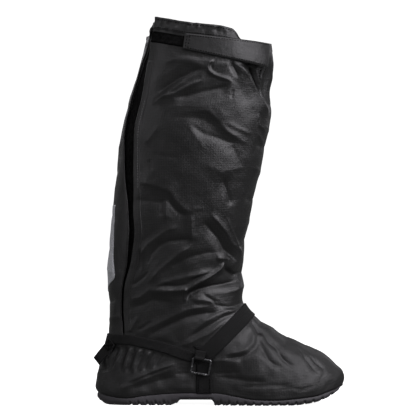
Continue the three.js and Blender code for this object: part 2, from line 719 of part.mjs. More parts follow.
// A frame flat on the outer side at a place of the side view: across, up and out of the skin.
function frameOnSkin(place) {
  const { u, v } = skinAt(soleX(place.x), instepZ(place.z), -1);
  const normal = bareNormal(u, v);
  const up = new THREE.Vector3(0, 0, 1).addScaledVector(normal, -normal.z).normalize();
  const across = up.clone().cross(normal);
  return new THREE.Matrix4().makeBasis(across, up, normal).setPosition(bareSkin(u, v));
}

// How far the skin, moved out by a distance, stands above such a frame within a square.
function highestOver(frame, half, out) {
  const inverse = frame.clone().invert();
  const steps = [-1, -0.5, 0, 0.5, 1];
  return Math.max(...steps.flatMap((i) => steps.map((j) => {
    const place = new THREE.Vector3(i * half, j * half, 0).applyMatrix4(frame);
    const { u, v } = skinAt(place.x, place.z, -1);
    return skin(u, v, out, false).applyMatrix4(inverse).z;
  })));
}

// The room of the instep strap: over the instep to the buckle, and on the inner side down to the sole.
function instepBands(width) {
  const outer = footRoute(INSTEP_ROUTE);
  const end = outer[outer.length - 1];
  const inner = [...outer, { x: end.x, z: edgeZ(end.x) / 2 }];
  return sidePrism(bandOutline(outer, width), -1).add(sidePrism(bandOutline(inner, width), 1));
}

// Webbing from the inner sole edge over the instep to the buckle.
function makeInstepStrap() {
  return strapLayer().intersect(instepBands(WEBBING_WIDTH));
}

// Webbing from the outer sole edge up behind the buckle.
function makeSideStrap() {
  const x = soleX(SIDE_STRAP_AT);
  const outline = bandOutline([{ x, z: edgeZ(x) / 2 }, { x, z: instepZ(BUCKLE_AT.z) }], WEBBING_WIDTH);
  return strapLayer().intersect(sidePrism(outline, -1));
}

const heelBand = (width) => sidePrism(bandOutline(footRoute(HEEL_ROUTE), width), 0);

// Webbing round the heel, which meets the instep strap on both sides.
function makeHeelStrap() {
  return strapLayer().intersect(heelBand(HEEL_STRAP_WIDTH)).subtract(instepBands(WEBBING_WIDTH + 2 * GAP));
}

function roundedRectangle(width, height, corner) {
  const [w, h] = [width / 2, height / 2];
  const shape = new THREE.Shape();
  shape.absarc(w - corner, h - corner, corner, 0, Math.PI / 2);
  shape.absarc(corner - w, h - corner, corner, Math.PI / 2, Math.PI);
  shape.absarc(corner - w, corner - h, corner, Math.PI, 1.5 * Math.PI);
  shape.absarc(w - corner, corner - h, corner, 1.5 * Math.PI, 2 * Math.PI);
  return shape;
}

// Steel loop that joins the straps on the outer side.
function makeBuckle() {
  const shape = roundedRectangle(BUCKLE_WIDTH, BUCKLE_HEIGHT, BUCKLE_CORNER);
  const inside = [BUCKLE_WIDTH - 2 * BUCKLE_ROD, BUCKLE_HEIGHT - 2 * BUCKLE_ROD, BUCKLE_CORNER / 3];
  shape.holes.push(roundedRectangle(...inside));
  const loop = new THREE.ExtrudeGeometry(shape, { depth: BUCKLE_ROD, bevelEnabled: false, curveSegments: 3 });
  loop.rotateZ(THREE.MathUtils.degToRad(-BUCKLE_TURN));
  const frame = frameOnSkin(BUCKLE_AT);
  loop.translate(0, 0, highestOver(frame, BUCKLE_WIDTH / 2, GAP + WEBBING_THICKNESS) + GAP);
  return solidOf(loop.applyMatrix4(frame));
}

// Folded pull tab sewn on at the heel strap. Its front edge lies on the heel and the rest stands off.
function makeHeelTab() {
  const tab = new THREE.BoxGeometry(TAB_WIDTH, TAB_LENGTH, TAB_THICKNESS);
  tab.translate(-TAB_WIDTH / 2, -TAB_LENGTH / 2, TAB_THICKNESS / 2 + GAP);
  tab.rotateZ(THREE.MathUtils.degToRad(-TAB_LEAN));
  tab.rotateX(THREE.MathUtils.degToRad(-TAB_FLARE));
  return solidOf(tab.applyMatrix4(frameOnSkin(TAB_AT))).subtract(heelBand(HEEL_STRAP_WIDTH + 2 * GAP));
}

const group = new THREE.Group();
function material(color, roughness, metalness) {
  return new THREE.MeshStandardMaterial({ color, roughness, metalness });
}

const CLOTH_BLACK = material(0x1b1b1c, 0.5, 0);
const RUBBER = material(0x2a2a2e, 0.7, 0);
const TAPE = material(0x0a0a0a, 0.95, 0);
const WEBBING = material(0x161616, 0.85, 0);
const REFLECTIVE_GREY = material(0x9a9da1, 0.4, 0.2);
const STEEL = material(0x2c2c2e, 0.3, 0.9);

function add(name, solid, finish) {
  const mesh = new THREE.Mesh(geometryOf(solid), finish);
  mesh.name = name;
  group.add(mesh);
}

add('outsole', makeOutsole(), RUBBER);
add('upper', makeUpper(), CLOTH_BLACK);
add('closure_tape', makeClosureTape(), TAPE);
add('opening_hem', makeOpeningHem(), CLOTH_BLACK);
add('collar_band', makeCollarBand(), CLOTH_BLACK);
add('pile_patch', makePilePatch(), TAPE);
add('front_seam', makeFrontSeam(), CLOTH_BLACK);
add('collar_strap', makeCollarStrap(), CLOTH_BLACK);
add('reflective_panel', makeReflectivePanel(), REFLECTIVE_GREY);
add('instep_strap', makeInstepStrap(), WEBBING);
add('side_strap', makeSideStrap(), WEBBING);
add('heel_strap', makeHeelStrap(), WEBBING);
add('heel_tab', makeHeelTab(), WEBBING);
add('buckle', makeBuckle(), STEEL);

export default group;
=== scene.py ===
# Looks of the waterproof overshoe: creased cloth, tapes, straps, buckle, rubber sole and stitches.
# Lengths are in millimetres until a mesh is made, which is in metres.
# +Z up, +X to the toe, +Y to the inner side of the foot. The camera looks from the outer side.
import math

import bmesh
import bpy
import numpy as np
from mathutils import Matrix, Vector


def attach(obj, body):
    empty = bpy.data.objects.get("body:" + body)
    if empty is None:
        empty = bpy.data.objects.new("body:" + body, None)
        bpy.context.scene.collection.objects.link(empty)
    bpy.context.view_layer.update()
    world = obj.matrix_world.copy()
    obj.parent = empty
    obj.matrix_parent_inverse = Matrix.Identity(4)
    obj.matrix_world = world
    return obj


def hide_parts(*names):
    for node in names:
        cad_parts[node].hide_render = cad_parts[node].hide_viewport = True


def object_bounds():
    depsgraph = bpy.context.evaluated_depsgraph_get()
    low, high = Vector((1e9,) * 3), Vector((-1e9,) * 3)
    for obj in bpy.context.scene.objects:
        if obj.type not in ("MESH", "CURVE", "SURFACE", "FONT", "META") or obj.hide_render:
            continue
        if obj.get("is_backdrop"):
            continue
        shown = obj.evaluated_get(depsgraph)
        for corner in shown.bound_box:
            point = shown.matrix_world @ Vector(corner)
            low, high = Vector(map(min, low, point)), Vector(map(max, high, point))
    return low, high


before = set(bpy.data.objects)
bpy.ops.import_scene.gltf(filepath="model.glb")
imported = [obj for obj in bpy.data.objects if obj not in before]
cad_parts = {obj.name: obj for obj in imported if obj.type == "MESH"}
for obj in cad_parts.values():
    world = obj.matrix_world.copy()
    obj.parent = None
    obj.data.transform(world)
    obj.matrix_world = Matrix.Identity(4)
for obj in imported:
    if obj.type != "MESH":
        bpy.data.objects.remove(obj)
cad_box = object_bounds()

MM = 0.001
BODY = "root"
SEED = 7
OUTER, INNER = -1, 1


def table(names, rows):
    """Rows of numbers as one array a named column."""
    return dict(zip(names.split(), np.array(rows, float).T))


# Sizes of the sole
SOLE_LENGTH = 311
HEEL_BEHIND = 38
BALL_WIDTH = 116
EDGE_HEIGHT = 15.6
TOE_SPRING = 20
ARCH_LIFT = 7.2
SHEET = 3
TREAD_DEPTH = 3
RIM_WIDTH = 3.5
LUG_WIDTH = 7
LUG_PITCH = 10.5
LUG_BEND = 9
HEEL_BLOCK_FRONT = 8

# Sizes of the cloth upper
INSTEP_HEIGHT = 125
COLLAR_HEIGHT = 466
SHAFT_BACK = -24
SHAFT_DEPTH = 170
CALF_WIDTH = 120
FLAP_RISE = 24
CLOTH = 1.5
HEM_THICKNESS = 0.45
UNDER_STRAP = 0.2  # the strap that runs down inside lies this much under the one over the instep
GAP = 0.3

# Sizes of what is sewn on
TAPE_THICKNESS = 1
TAPE_MARGIN = 5
HEM_WIDTH = 9
COLLAR_BAND_HEIGHT = 15
PATCH_WIDTH = 14
PATCH_DROP = 18
COLLAR_STRAP_END_WIDTH = 20
COLLAR_STRAP_ROOT_WIDTH = 31
SEAM_WIDTH = 6
SEAM_LENGTH = 46
REFLECTIVE_WIDTH = 62
REFLECTIVE_THICKNESS = 0.6
WEBBING_WIDTH = 20
WEBBING_THICKNESS = 1.5
HEEL_STRAP_WIDTH = 13
BUCKLE_WIDTH = 25
BUCKLE_HEIGHT = 21
BUCKLE_ROD = 2.4
BUCKLE_TURN = 10
BUCKLE_CORNER = 3
TAB_WIDTH = 15
TAB_LENGTH = 35
TAB_THICKNESS = 3
TAB_LEAN = 38
TAB_FLARE = 7

# Plan and side view of the sole
PLAN = table("at outer inner shift", [
    (0.0, 0.8, 0.8, 0.0),
    (0.12, 0.92, 0.92, 0.0),
    (0.25, 0.82, 0.81, 0.0),
    (0.42, 0.79, 0.72, 0.01),
    (0.55, 0.91, 0.84, 0.02),
    (0.68, 1.03, 1.0, 0.03),
    (0.82, 1.04, 1.06, 0.05),
    (0.92, 1.0, 1.06, 0.07),
    (1.0, 0.95, 1.0, 0.08),
])
PROFILE = table("at ground edge", [
    (0.0, 0.25, 0.96),
    (0.026, 0.06, 0.82),
    (0.045, 0.0, 0.73),
    (0.12, 0.0, 0.58),
    (0.18, 0.0, 0.75),
    (0.27, 0.0, 0.93),
    (0.36, 0.0, 1.0),
    (0.48, 0.0, 1.0),
    (0.56, 0.0, 0.75),
    (0.63, 0.0, 0.51),
    (0.72, 0.0, 0.44),
    (0.8, 0.0, 0.54),
    (0.84, 0.065, 0.62),
    (0.895, 0.2, 0.78),
    (0.944, 0.475, 1.1),
    (0.968, 0.68, 1.26),
    (1.0, 1.0, 1.54),
])
ARCH = {"start": 0.32, "end": 0.478, "ramp": 0.016}

# Sections of the foot and of the shaft, as shares of the sizes above
FOOT = table("back front low high wide sole wave power", [
    (0.0, 1.0, 0.12, 0.192, 0.98, 1, 1, 2.5),
    (-0.0084, 1.0075, 0.16, 0.27, 1.01, 1, 0.8, 2.5),
    (-0.0065, 0.998, 0.24, 0.345, 1.0, 0.95, 0.55, 2.45),
    (-0.003, 0.97, 0.305, 0.415, 0.98, 0.85, 0.3, 2.4),
    (0.0, 0.924, 0.37, 0.51, 0.955, 0.7, 0.12, 2.35),
    (0.0065, 0.87, 0.43, 0.572, 0.93, 0.55, 0, 2.3),
    (0.0145, 0.797, 0.5, 0.655, 0.9, 0.4, 0, 2.25),
    (0.026, 0.729, 0.565, 0.742, 0.87, 0.3, 0, 2.2),
    (0.037, 0.665, 0.64, 0.85, 0.85, 0.2, 0, 2.2),
    (0.045, 0.616, 0.735, 0.95, 0.83, 0.1, 0, 2.2),
])
SHAFT = table("back front low high wide", [
    (0.009, 1.0, -0.056, 0.026, 0.79),
    (0.006, 1.003, 0.003, 0.079, 0.81),
    (-0.003, 1.0, 0.073, 0.138, 0.85),
    (-0.002, 1.012, 0.161, 0.22, 0.89),
    (0.015, 1.041, 0.264, 0.305, 0.94),
    (0.033, 1.086, 0.372, 0.406, 0.98),
    (0.05, 1.12, 0.469, 0.484, 1.0),
    (0.071, 1.162, 0.566, 0.566, 1.0),
    (0.1, 1.191, 0.66, 0.645, 0.99),
    (0.145, 1.218, 0.757, 0.721, 0.97),
    (0.182, 1.203, 0.812, 0.789, 0.95),
    (0.219, 1.218, 0.868, 0.839, 0.93),
    (0.249, 1.232, 0.924, 0.903, 0.9),
    (0.288, 1.209, 1.0, 0.969, 0.86),
])
SHAFT_POWER = 2.2
COLLAR_EDGE = table("around rise", [
    (0.0, 0), (0.045, 0), (0.08, 1), (0.2, 0.8), (0.305, 0.62), (0.335, 0.1), (0.5, 0), (0.75, 0.2), (1.0, 0),
])
RISE_ROWS = 4
OPENING = table("up middle half", [
    (0.19, 0.112, 0.0035),
    (0.25, 0.106, 0.0045),
    (0.32, 0.116, 0.0045),
    (0.385, 0.134, 0.0065),
    (0.45, 0.136, 0.009),
    (0.52, 0.125, 0.009),
    (0.6, 0.108, 0.016),
    (0.68, 0.09, 0.022),
    (0.76, 0.074, 0.029),
    (0.84, 0.07, 0.031),
    (0.92, 0.061, 0.031),
    (1.0, 0.066, 0.02),
    (1.05, 0.078, 0.01),
])
FOLDS = [
    {"side": OUTER, "x": 1.14, "z": 0.88, "long": 0.26, "short": 0.085, "tilt": -70, "depth": 0.2},
    {"side": OUTER, "x": 0.75, "z": 0.67, "long": 0.15, "short": 0.07, "tilt": -35, "depth": 0.06},
    {"side": OUTER, "x": 0.69, "z": 0.82, "long": 0.17, "short": 0.06, "tilt": 25, "depth": 0.06},
    {"side": OUTER, "x": 0.9, "z": 0.11, "long": 0.11, "short": 0.07, "tilt": 0, "depth": 0.08},
    {"side": INNER, "x": 1.06, "z": 0.87, "long": 0.2, "short": 0.09, "tilt": -65, "depth": 0.12},
    {"side": INNER, "x": 0.6, "z": 0.6, "long": 0.18, "short": 0.07, "tilt": 35, "depth": 0.06},
    {"side": INNER, "x": 0.85, "z": 0.12, "long": 0.11, "short": 0.07, "tilt": 10, "depth": 0.07},
]
REFLECTIVE = table("up half", [(0.305, 0.02), (0.345, 1.0), (0.4, 0.9), (0.54, 0.66)])

# Strap routes in the side view, in shares of the sole's length and of the instep height
INSTEP_ROUTE = [(0.68, 1.12), (0.604, 0.916), (0.432, 0.49)]
HEEL_ROUTE = [
    (-0.03, 0.65), (0.06, 0.662), (0.14, 0.655), (0.2, 0.625), (0.27, 0.585), (0.33, 0.53), (0.42, 0.46),
]
BUCKLE_AT = (0.423, 0.4)
SIDE_STRAP_AT = 0.435
TAB_AT = (0.078, 0.6)
FRONT_SEAM_TURN = 0.44

# Creases by side. Each row: height out of the cloth, reach above and below the line, the line.
# A line runs in the plane of that side, in millimetres, and its height is negative for a trough.
CREASES = {
    "outer": [
        (-4.2, 14, 6, [(36, 391), (50, 401), (66, 411), (85, 420), (99, 422)]),
        (1.6, 5, 3, [(40, 384), (52, 392), (66, 402), (78, 408)]),
        (-1.2, 3, 4, [(36, 382), (50, 390), (64, 398)]),
        (3.8, 6, 13, [(30, 378), (45, 388), (60, 392), (76, 400), (92, 408), (99, 417)]),
        (-4.2, 12, 18, [(58, 385), (75, 389), (95, 394), (115, 398), (131, 402)]),
        (1.8, 14, 9, [(45, 430), (60, 434), (75, 433), (90, 428), (100, 424)]),
        (2.8, 3.2, 3.2, [(122, 441), (112, 436), (103, 431), (101, 426), (103, 420),
                         (110, 415), (118, 412), (128, 409), (133, 404)]),
        (-1.5, 2.5, 3, [(118, 437), (110, 432), (105, 427), (108, 421)]),
        (-3.5, 6, 6, [(130, 438), (133, 427), (141, 412)]),
        (5, 5, 18, [(139, 433), (146, 424), (155, 413), (161, 400), (169, 385), (177, 373), (181, 362)]),
        (-10, 7, 7, [(144, 440), (158, 430), (167, 414), (173, 398), (180, 380)]),
        (-5, 6, 6, [(148, 428), (162, 432), (176, 428)]),
        (0.8, 9, 7, [(50, 375), (76, 376), (102, 374)]),
        (-0.7, 7, 9, [(52, 361), (76, 362), (98, 360)]),
        (-1.6, 5, 5, [(81, 444), (95, 435)]),
        (-1.2, 3, 3, [(131, 386), (134, 397)]),
        (1.7, 16, 10, [(68, 369), (102, 370), (115, 358), (127, 344), (144, 331)]),
        (-2, 10, 18, [(78, 355), (97, 341), (115, 336), (127, 331), (144, 328)]),
        (0.7, 14, 9, [(77, 352), (83, 342), (92, 331), (97, 320)]),
        (1.2, 30, 16, [(96, 303), (120, 293), (147, 300)]),
        (-1.4, 9, 12, [(132, 328), (140, 310), (145, 298)]),
        (0.9, 6, 6, [(113, 354), (125, 345), (139, 337), (153, 327)]),
        (0.8, 5, 5, [(122, 356), (144, 346), (159, 340)]),
        (1.2, 3.5, 3.5, [(165, 369), (167, 352), (177, 341)]),
        (1.2, 3.5, 3.5, [(164, 343), (173, 329), (171, 319)]),
        (-2.3, 14, 8, [(120, 287), (124, 275), (129, 260), (131, 250)]),
        (-1.1, 3, 3, [(28, 309), (31, 296)]),
        (-0.7, 4, 4, [(32, 317), (48, 313), (64, 311)]),
        (1.4, 6, 6, [(22, 328), (31, 338), (41, 352)]),
        (2.2, 22, 12, [(13, 282), (31, 278), (51, 271), (62, 262)]),
        (-1.3, 10, 9, [(9, 258), (30, 256), (48, 256)]),
        (1.2, 9, 5, [(54, 266), (71, 248), (82, 242)]),
        (-1.9, 5, 13, [(50, 259), (64, 243), (77, 238)]),
        (1.4, 11, 4, [(49, 258), (48.5, 233)]),
        (-1.4, 4, 9, [(44, 259), (44, 237)]),
        (2.2, 15, 8, [(80.5, 242), (81, 205)]),
        (0.8, 4, 4, [(80, 240), (85, 247), (98, 248)]),
        (2.6, 9, 8, [(104, 242), (116, 229), (125, 218), (132, 204), (141, 196), (148, 189)]),
        (-3.2, 8, 12, [(96, 233), (106, 220), (115, 210), (122, 197), (132, 188), (141, 180)]),
        (1.3, 3, 3, [(125, 238), (132, 220), (137, 207), (142, 195), (145, 182)]),
        (2.2, 8, 7, [(14, 186), (26, 202), (40, 213), (52, 221), (68, 225)]),
        (-3.2, 8, 13, [(21, 172), (30, 190), (40, 201), (52, 206), (68, 208), (84, 208)]),
        (3.2, 13, 8, [(27, 154), (42, 171), (54, 181), (66, 191), (84, 203)]),
        (-2, 7, 9, [(54, 174), (80, 187), (100, 192), (114, 193)]),
        (2.6, 8, 5, [(112, 184), (120, 185), (132, 183)]),
        (4, 4, 8, [(29, 146), (60, 145), (76, 146), (87, 153), (99, 160),
                       (109, 165), (118, 172), (129, 187)]),
        (-1.8, 4, 3, [(40, 149), (60, 150), (74, 152), (86, 159), (99, 165)]),
        (2.1, 6, 4, [(31, 148), (47, 155), (60, 158), (73, 161), (92, 165), (113, 170)]),
        (-5.2, 9, 10, [(74, 129), (79, 141), (90, 146), (108, 150), (125, 152), (146, 157)]),
        (2, 2.5, 3.5, [(73.5, 149), (73.5, 130)]),
        (2.2, 9, 5, [(80, 133), (105, 131), (122, 126)]),
        (-1.6, 3, 3, [(95, 140), (108, 132), (119, 128)]),
        (-2.4, 4, 5, [(131, 188), (124, 180), (124, 172), (132, 166), (143, 163)]),
        (-1.3, 3, 3, [(3, 151), (12, 154), (22, 162), (27, 168)]),
        (-1.3, 3, 3, [(15.5, 198), (15.5, 168)]),
        (-3.2, 8, 8, [(23, 85), (40, 95), (54, 102), (70, 109), (82, 113), (100, 116), (124, 117)]),
        (2.1, 10, 7, [(21, 92), (38, 102), (54, 110), (70, 118), (84, 122), (106, 124)]),
        (-1.3, 3, 3, [(11, 95), (19, 97), (26, 102), (32, 106)]),
        (1.3, 4, 4, [(3, 91), (8, 101), (16, 112)]),
        (1.9, 9, 8, [(3, 132), (18, 137), (28, 145), (60, 141)]),
        (-2.1, 8, 11, [(4, 122), (20, 127), (32, 133), (62, 129)]),
        (-2.6, 5, 6, [(74, 83), (92, 94), (108, 103), (123, 111), (142, 117)]),
        (1.9, 4, 5, [(84, 94), (98, 106), (111, 113), (125, 118), (143, 119.5)]),
        (2.1, 6, 7, [(64, 73), (82, 80), (104, 91), (124, 104), (139, 113)]),
        (-1.6, 3, 3, [(102, 134), (112, 127), (124, 123.5), (143, 122.5)]),
        (-2.6, 3, 4, [(-22, 44), (-17, 60), (-12, 77)]),
        (2, 3, 3, [(-17, 42), (-12, 60), (-6, 77)]),
        (-2.8, 3, 4, [(-11, 42), (-6, 60), (0, 77)]),
        (2, 3, 3, [(-5, 41), (0, 60), (6, 77)]),
        (-2.8, 3, 4, [(0, 40), (5, 58), (12, 76)]),
        (2, 3, 3, [(6, 40), (11, 58), (18, 75)]),
        (-2.8, 3, 4, [(11, 40), (16, 56), (24, 74)]),
        (1.8, 3, 3, [(17, 42), (22, 56), (30, 72)]),
        (-2.4, 3, 4, [(22, 43), (27, 56), (36, 70)]),
        (-2, 3, 4, [(34, 46), (40, 57), (47, 67)]),
        (2.8, 6, 3.5, [(-1, 28), (12, 34), (28, 41), (47, 48), (62, 53)]),
        (1.9, 3.5, 6, [(-16, 20), (-6, 22), (10, 28), (26, 35), (45, 42), (61, 49)]),
        (-1.9, 7, 8, [(4, 21), (22, 26), (40, 31), (62, 37)]),
        (1.6, 6, 9, [(104, 57), (124, 57), (143, 56)]),
        (-2.1, 10, 8, [(104, 41), (124, 41), (143, 42)]),
        (-1.8, 8, 8, [(60, 40), (80, 40)]),
        (-5, 5, 8, [(155, 110), (164, 97), (169, 88)]),
        (-2.8, 5, 6, [(121, 58), (140, 61), (152, 65), (163, 74), (166, 88)]),
        (1.9, 7, 4, [(123, 64), (140, 67), (150, 71), (158, 79), (160, 97)]),
        (-2.6, 6, 6, [(166, 89), (168, 79), (172, 69), (177, 59), (184, 52), (196, 48)]),
        (-2.3, 6, 6, [(165, 99), (173, 89), (178, 80), (187, 73), (192, 64),
                      (198, 57), (206, 51), (218, 47.5)]),
        (-1.9, 7, 7, [(215, 76), (224, 60), (233, 50), (241, 39)]),
        (-1.5, 6, 6, [(230, 62), (240, 53), (249, 45)]),
        (-2.1, 7, 6, [(111, 36), (130, 34.5), (151, 31.5), (180, 29.5)]),
        (-1.4, 4, 4, [(140, 24), (165, 25), (183, 26), (211, 25)]),
        (-1, 3, 3, [(183, 20), (207, 22), (219, 20), (238, 25)]),
    ],
    "inner": [
        (-3.6, 15, 15, [(52, 430), (85, 422), (118, 432)]),
        (2.7, 10, 10, [(40, 400), (72, 416), (104, 412)]),
        (2.9, 10, 10, [(150, 434), (160, 410), (172, 386), (178, 366)]),
        (-4.5, 17, 17, [(160, 430), (168, 408), (176, 388)]),
        (-3.1, 13, 13, [(48, 380), (80, 388), (112, 376), (136, 380)]),
        (3.1, 25, 25, [(60, 350), (84, 336), (104, 318)]),
        (-3.6, 15, 15, [(36, 340), (64, 322), (96, 306), (122, 300)]),
        (2.5, 10, 10, [(118, 350), (136, 336), (156, 330)]),
        (-3.2, 17, 17, [(120, 290), (134, 272), (148, 256)]),
        (2.7, 13, 10, [(28, 288), (52, 272), (80, 268)]),
        (-2.7, 13, 13, [(16, 262), (44, 252), (70, 256)]),
        (-3.6, 13, 13, [(92, 240), (112, 222), (126, 206), (140, 190)]),
        (2.7, 8, 8, [(120, 238), (130, 216), (142, 192)]),
        (3.1, 10, 19, [(24, 170), (44, 194), (76, 208)]),
        (-2.7, 10, 10, [(36, 168), (60, 184), (92, 194)]),
        (3.6, 8, 8, [(28, 150), (58, 148), (88, 158), (120, 180)]),
        (-5, 13, 13, [(70, 132), (88, 148), (116, 156), (142, 160)]),
        (4.1, 19, 19, [(84, 137), (108, 141), (134, 136)]),
        (-3.6, 13, 10, [(26, 92), (54, 106), (88, 116), (124, 119)]),
        (2.3, 8, 8, [(60, 76), (92, 92), (132, 114)]),
        (-2.7, 10, 10, [(6, 124), (28, 138), (58, 132)]),
        (-2, 8, 8, [(2, 50), (12, 72)]),
        (-1.8, 8, 8, [(14, 46), (24, 68)]),
        (2.3, 8, 8, [(0, 30), (28, 42), (60, 52)]),
        (-2.2, 10, 10, [(18, 30), (44, 36), (76, 34)]),
        (-5, 10, 10, [(154, 110), (162, 98), (167, 88)]),
        (-2.9, 8, 8, [(118, 64), (142, 66), (160, 78), (164, 92)]),
        (2.2, 8, 8, [(120, 56), (146, 58), (168, 70)]),
        (-2.7, 8, 8, [(168, 90), (176, 70), (190, 54), (206, 48)]),
        (-2.2, 8, 8, [(186, 80), (200, 62), (218, 50)]),
        (-1.8, 10, 10, [(216, 74), (232, 52), (244, 40)]),
        (-2, 8, 8, [(108, 40), (140, 34), (182, 32)]),
        (1.6, 8, 8, [(120, 30), (160, 26), (196, 27)]),
    ],
    "front": [
        (-3.6, 13, 13, [(-34, 160), (-10, 168), (16, 164), (34, 156)]),
        (3.1, 13, 13, [(-36, 142), (-8, 150), (18, 146), (36, 140)]),
        (-4, 10, 10, [(-36, 124), (-12, 128), (14, 127), (36, 122)]),
        (-2.7, 13, 13, [(-32, 196), (-6, 206), (22, 214)]),
        (2.3, 13, 13, [(-30, 222), (0, 230), (28, 246)]),
        (-2.7, 15, 15, [(-36, 262), (-8, 256), (24, 270)]),
        (2.7, 15, 15, [(-34, 300), (-4, 292), (30, 306)]),
        (-3.1, 15, 15, [(-38, 330), (-6, 322), (28, 340)]),
        (2.5, 13, 13, [(-34, 352), (0, 346), (32, 360)]),
        (-2.3, 13, 13, [(-20, 384), (10, 376), (34, 390)]),
        (2, 10, 10, [(-6, 420), (14, 402), (34, 414)]),
    ],
    "back": [
        (-2.7, 15, 15, [(-24, 190), (0, 198), (26, 186)]),
        (2.2, 13, 13, [(-26, 166), (0, 172), (28, 162)]),
        (-2.9, 13, 13, [(-30, 134), (-4, 128), (26, 138)]),
        (2.2, 10, 10, [(-32, 112), (0, 106), (30, 114)]),
        (-2.3, 13, 13, [(-24, 232), (2, 240), (24, 228)]),
        (-2.7, 17, 17, [(-20, 300), (6, 288), (30, 304)]),
        (2.3, 15, 15, [(-18, 330), (8, 322), (30, 336)]),
        (-2.3, 15, 15, [(-18, 370), (6, 378), (30, 366)]),
        (-1.8, 8, 8, [(-22, 40), (-16, 62)]),
        (-1.8, 8, 8, [(-4, 38), (-2, 62)]),
        (-1.8, 8, 8, [(16, 40), (12, 62)]),
    ],
    "top": [
        (-3.2, 10, 10, [(166, -30), (170, 0), (166, 34)]),
        (2.2, 10, 10, [(178, -30), (184, 0), (180, 34)]),
        (-2.2, 10, 10, [(196, -26), (202, 4), (198, 36)]),
        (-1.6, 10, 10, [(222, -24), (226, 8), (220, 38)]),
    ],
}
# For each side: the two axes of its plane and the direction that it faces
FACINGS = {
    "outer": (0, 2, (0, -1, 0)),
    "inner": (0, 2, (0, 1, 0)),
    "front": (1, 2, (1, 0, 0)),
    "back": (1, 2, (-1, 0, 0)),
    "top": (0, 1, (0, 0, 1)),
}

# Shape of a crease. Its base is broad with flat flanks and its crest is narrow, both in shares of its height.
CREST_ROUND = 0.5  # radius that rounds the crest
CREST_POWER = 1.6
CREST_SHARE = 0.3  # of the height is the crest, the rest is the base
CREST_REACH = 0.35  # of the base's reach is the crest's
FOOT_ROUND = 0.25  # how softly the base runs out into the cloth
CREASE_TAPER = 0.26  # share of a crease's length over which each end fades
END_HEIGHT = 0.15  # share of the fade that is there at the very end
FACING_FROM = 0.12  # creases of a side fade in from here, as the part of the normal that faces that side
FACING_OVER = 0.4  # and over this much more of it

# Slack cloth: how many waves, how high, and the longest and the shortest
PILLOW_WAVES = 26
PILLOW_HEIGHT = 0.8
PILLOW_LENGTHS = (150, 26)
CRUMPLES = 40
CRUMPLE_HEIGHT = 1.0
CRUMPLE_LENGTHS = (20, 6)
CRUMPLE_DROP = 26  # the collar is crumpled this far down
FINE_HEIGHT = 0.12
FOOT_FINE_HEIGHT = 0.45
FINE_LENGTHS = (32, 9)
FOOT_TOP = 0.4  # share of the instep height above which the foot's fine crumples fade
FOOT_FADE = 0.5  # and over this much more of it
FRONT_SHARE = 0.45  # of the height of creases that the outline of the side view keeps
OUTLINE_CALM = 0.35  # share of the unevenness that the outline of the side view keeps
SIDE_ON = 1.6  # height is full where this times the normal's part across the shoe reaches 1
CALM_EDGE = 9  # creases fade this close to the collar edge and the sole
CALM_START = 0.25  # share of that fade that is there at the edge itself
PRESS_MARGIN = 0.5  # a strap presses on the cloth this far beyond its edges
PRESS_FADE = 5  # and less and less over this distance
PRESS_DEPTH = 0.2  # cloth under a strap lies this much lower
TROUGH_PRESS = 0.6  # share of a trough that a strap presses out

# Grid of the upper
UPPER_COLUMNS = 276
UPPER_ROWS = 288
INNER_STEP = 3  # one column or row of the lining for this many of the shell
OUTER_SHARE = 0.68  # share of the columns that the outer side gets
OUTER_END = 0.45  # turn at which the outer side ends
ROW_TURNS = (0.12, 0.25, 0.36)  # turns along which the rows lie evenly
ROW_SAMPLES = 1500
WELD = 0.02  # points closer than this become one

# Searches for places on the skin
SKIN_TRIES = 60
EDGE_TRIES = 25
ROUND_TRIES = 40
HEIGHT_TRIES = 30
STEP = 1e-3
MOST_TURN = 0.05  # a search turns no further than this at once
LEAST = 1e-6

# Places round the shoe, in turns from the back by the outer side
OPENING_TURN = 0.1
COLLAR_BAND_END = 0.36
COLLAR_STRAP_END = 0.19
PATCH_END = 0.245
BAND_STITCH_END = 0.35
PATCH_STITCH_END = 0.24
STITCHES_AFTER = 0.006  # past the opening's edge

# Rows and columns of points of the pieces on the cloth
GRIDS = {
    "closure": (150, 22),
    "hem": (190, 12),
    "band": (120, 14),
    "patch": (70, 14),
    "seam": (60, 10),
    "panel": (110, 60),
    "collar_strap": (90, 20),
    "instep_over": (150, 14),
    "instep_down": (50, 14),
    "heel": (180, 12),
    "side": (40, 14),
}

# How far pieces lie off the cloth, and the shape of their edges
HEM_LIFT = 0.05  # of the underside of hems off the cloth
PATCH_LIFT = 0.15
PANEL_LIFT = 0.1
TAPE_BEHIND = 2.2  # room between the cloth and the tape that closes the opening from inside
TAPE_ROW = 0.2  # the closing tape starts and ends this share of a row lower than the opening and the collar
HEM_START = 2  # height of the hem's lower end above the opening's
EDGE_SHARE = 0.45  # of a sheet's thickness is left at its edge
WRAP_EDGE_SHARE = 0.5
EDGE_ROUND = 0.7  # the edge of a piece is rounded over this width, unless it has its own below
HEM_ROUND = 2.5
PATCH_ROUND = 0.5
PANEL_ROUND = 0.4
STRAP_ROUND = 1.2
SEAM_BULGE = 0.7

# Share of a piece's length or width between its edge and the next points
BAND_ENDS = 0.004
STRIP_ENDS = 0.08
WRAP_ENDS = 0.05
ROW_ENDS = 0.06
COLLAR_ENDS = 0.01

# Buckle and heel tab
WRAP_TURNS = (215, 35)  # degrees round the rod, for the end of the heel strap that is bent over it
WRAP_REACH = 10  # its tip lies this far beyond the rod
WRAP_DROP = 0.6
WRAP_THICKNESS = 0.8  # of the webbing's
TAB_LAYER = 0.42  # of the tab's thickness
TAB_ROOT = 1  # distance of its ends from its own origin
TAB_WAVE = 0.25
TAB_WAVE_TURN = 0.2  # radians a millimetre

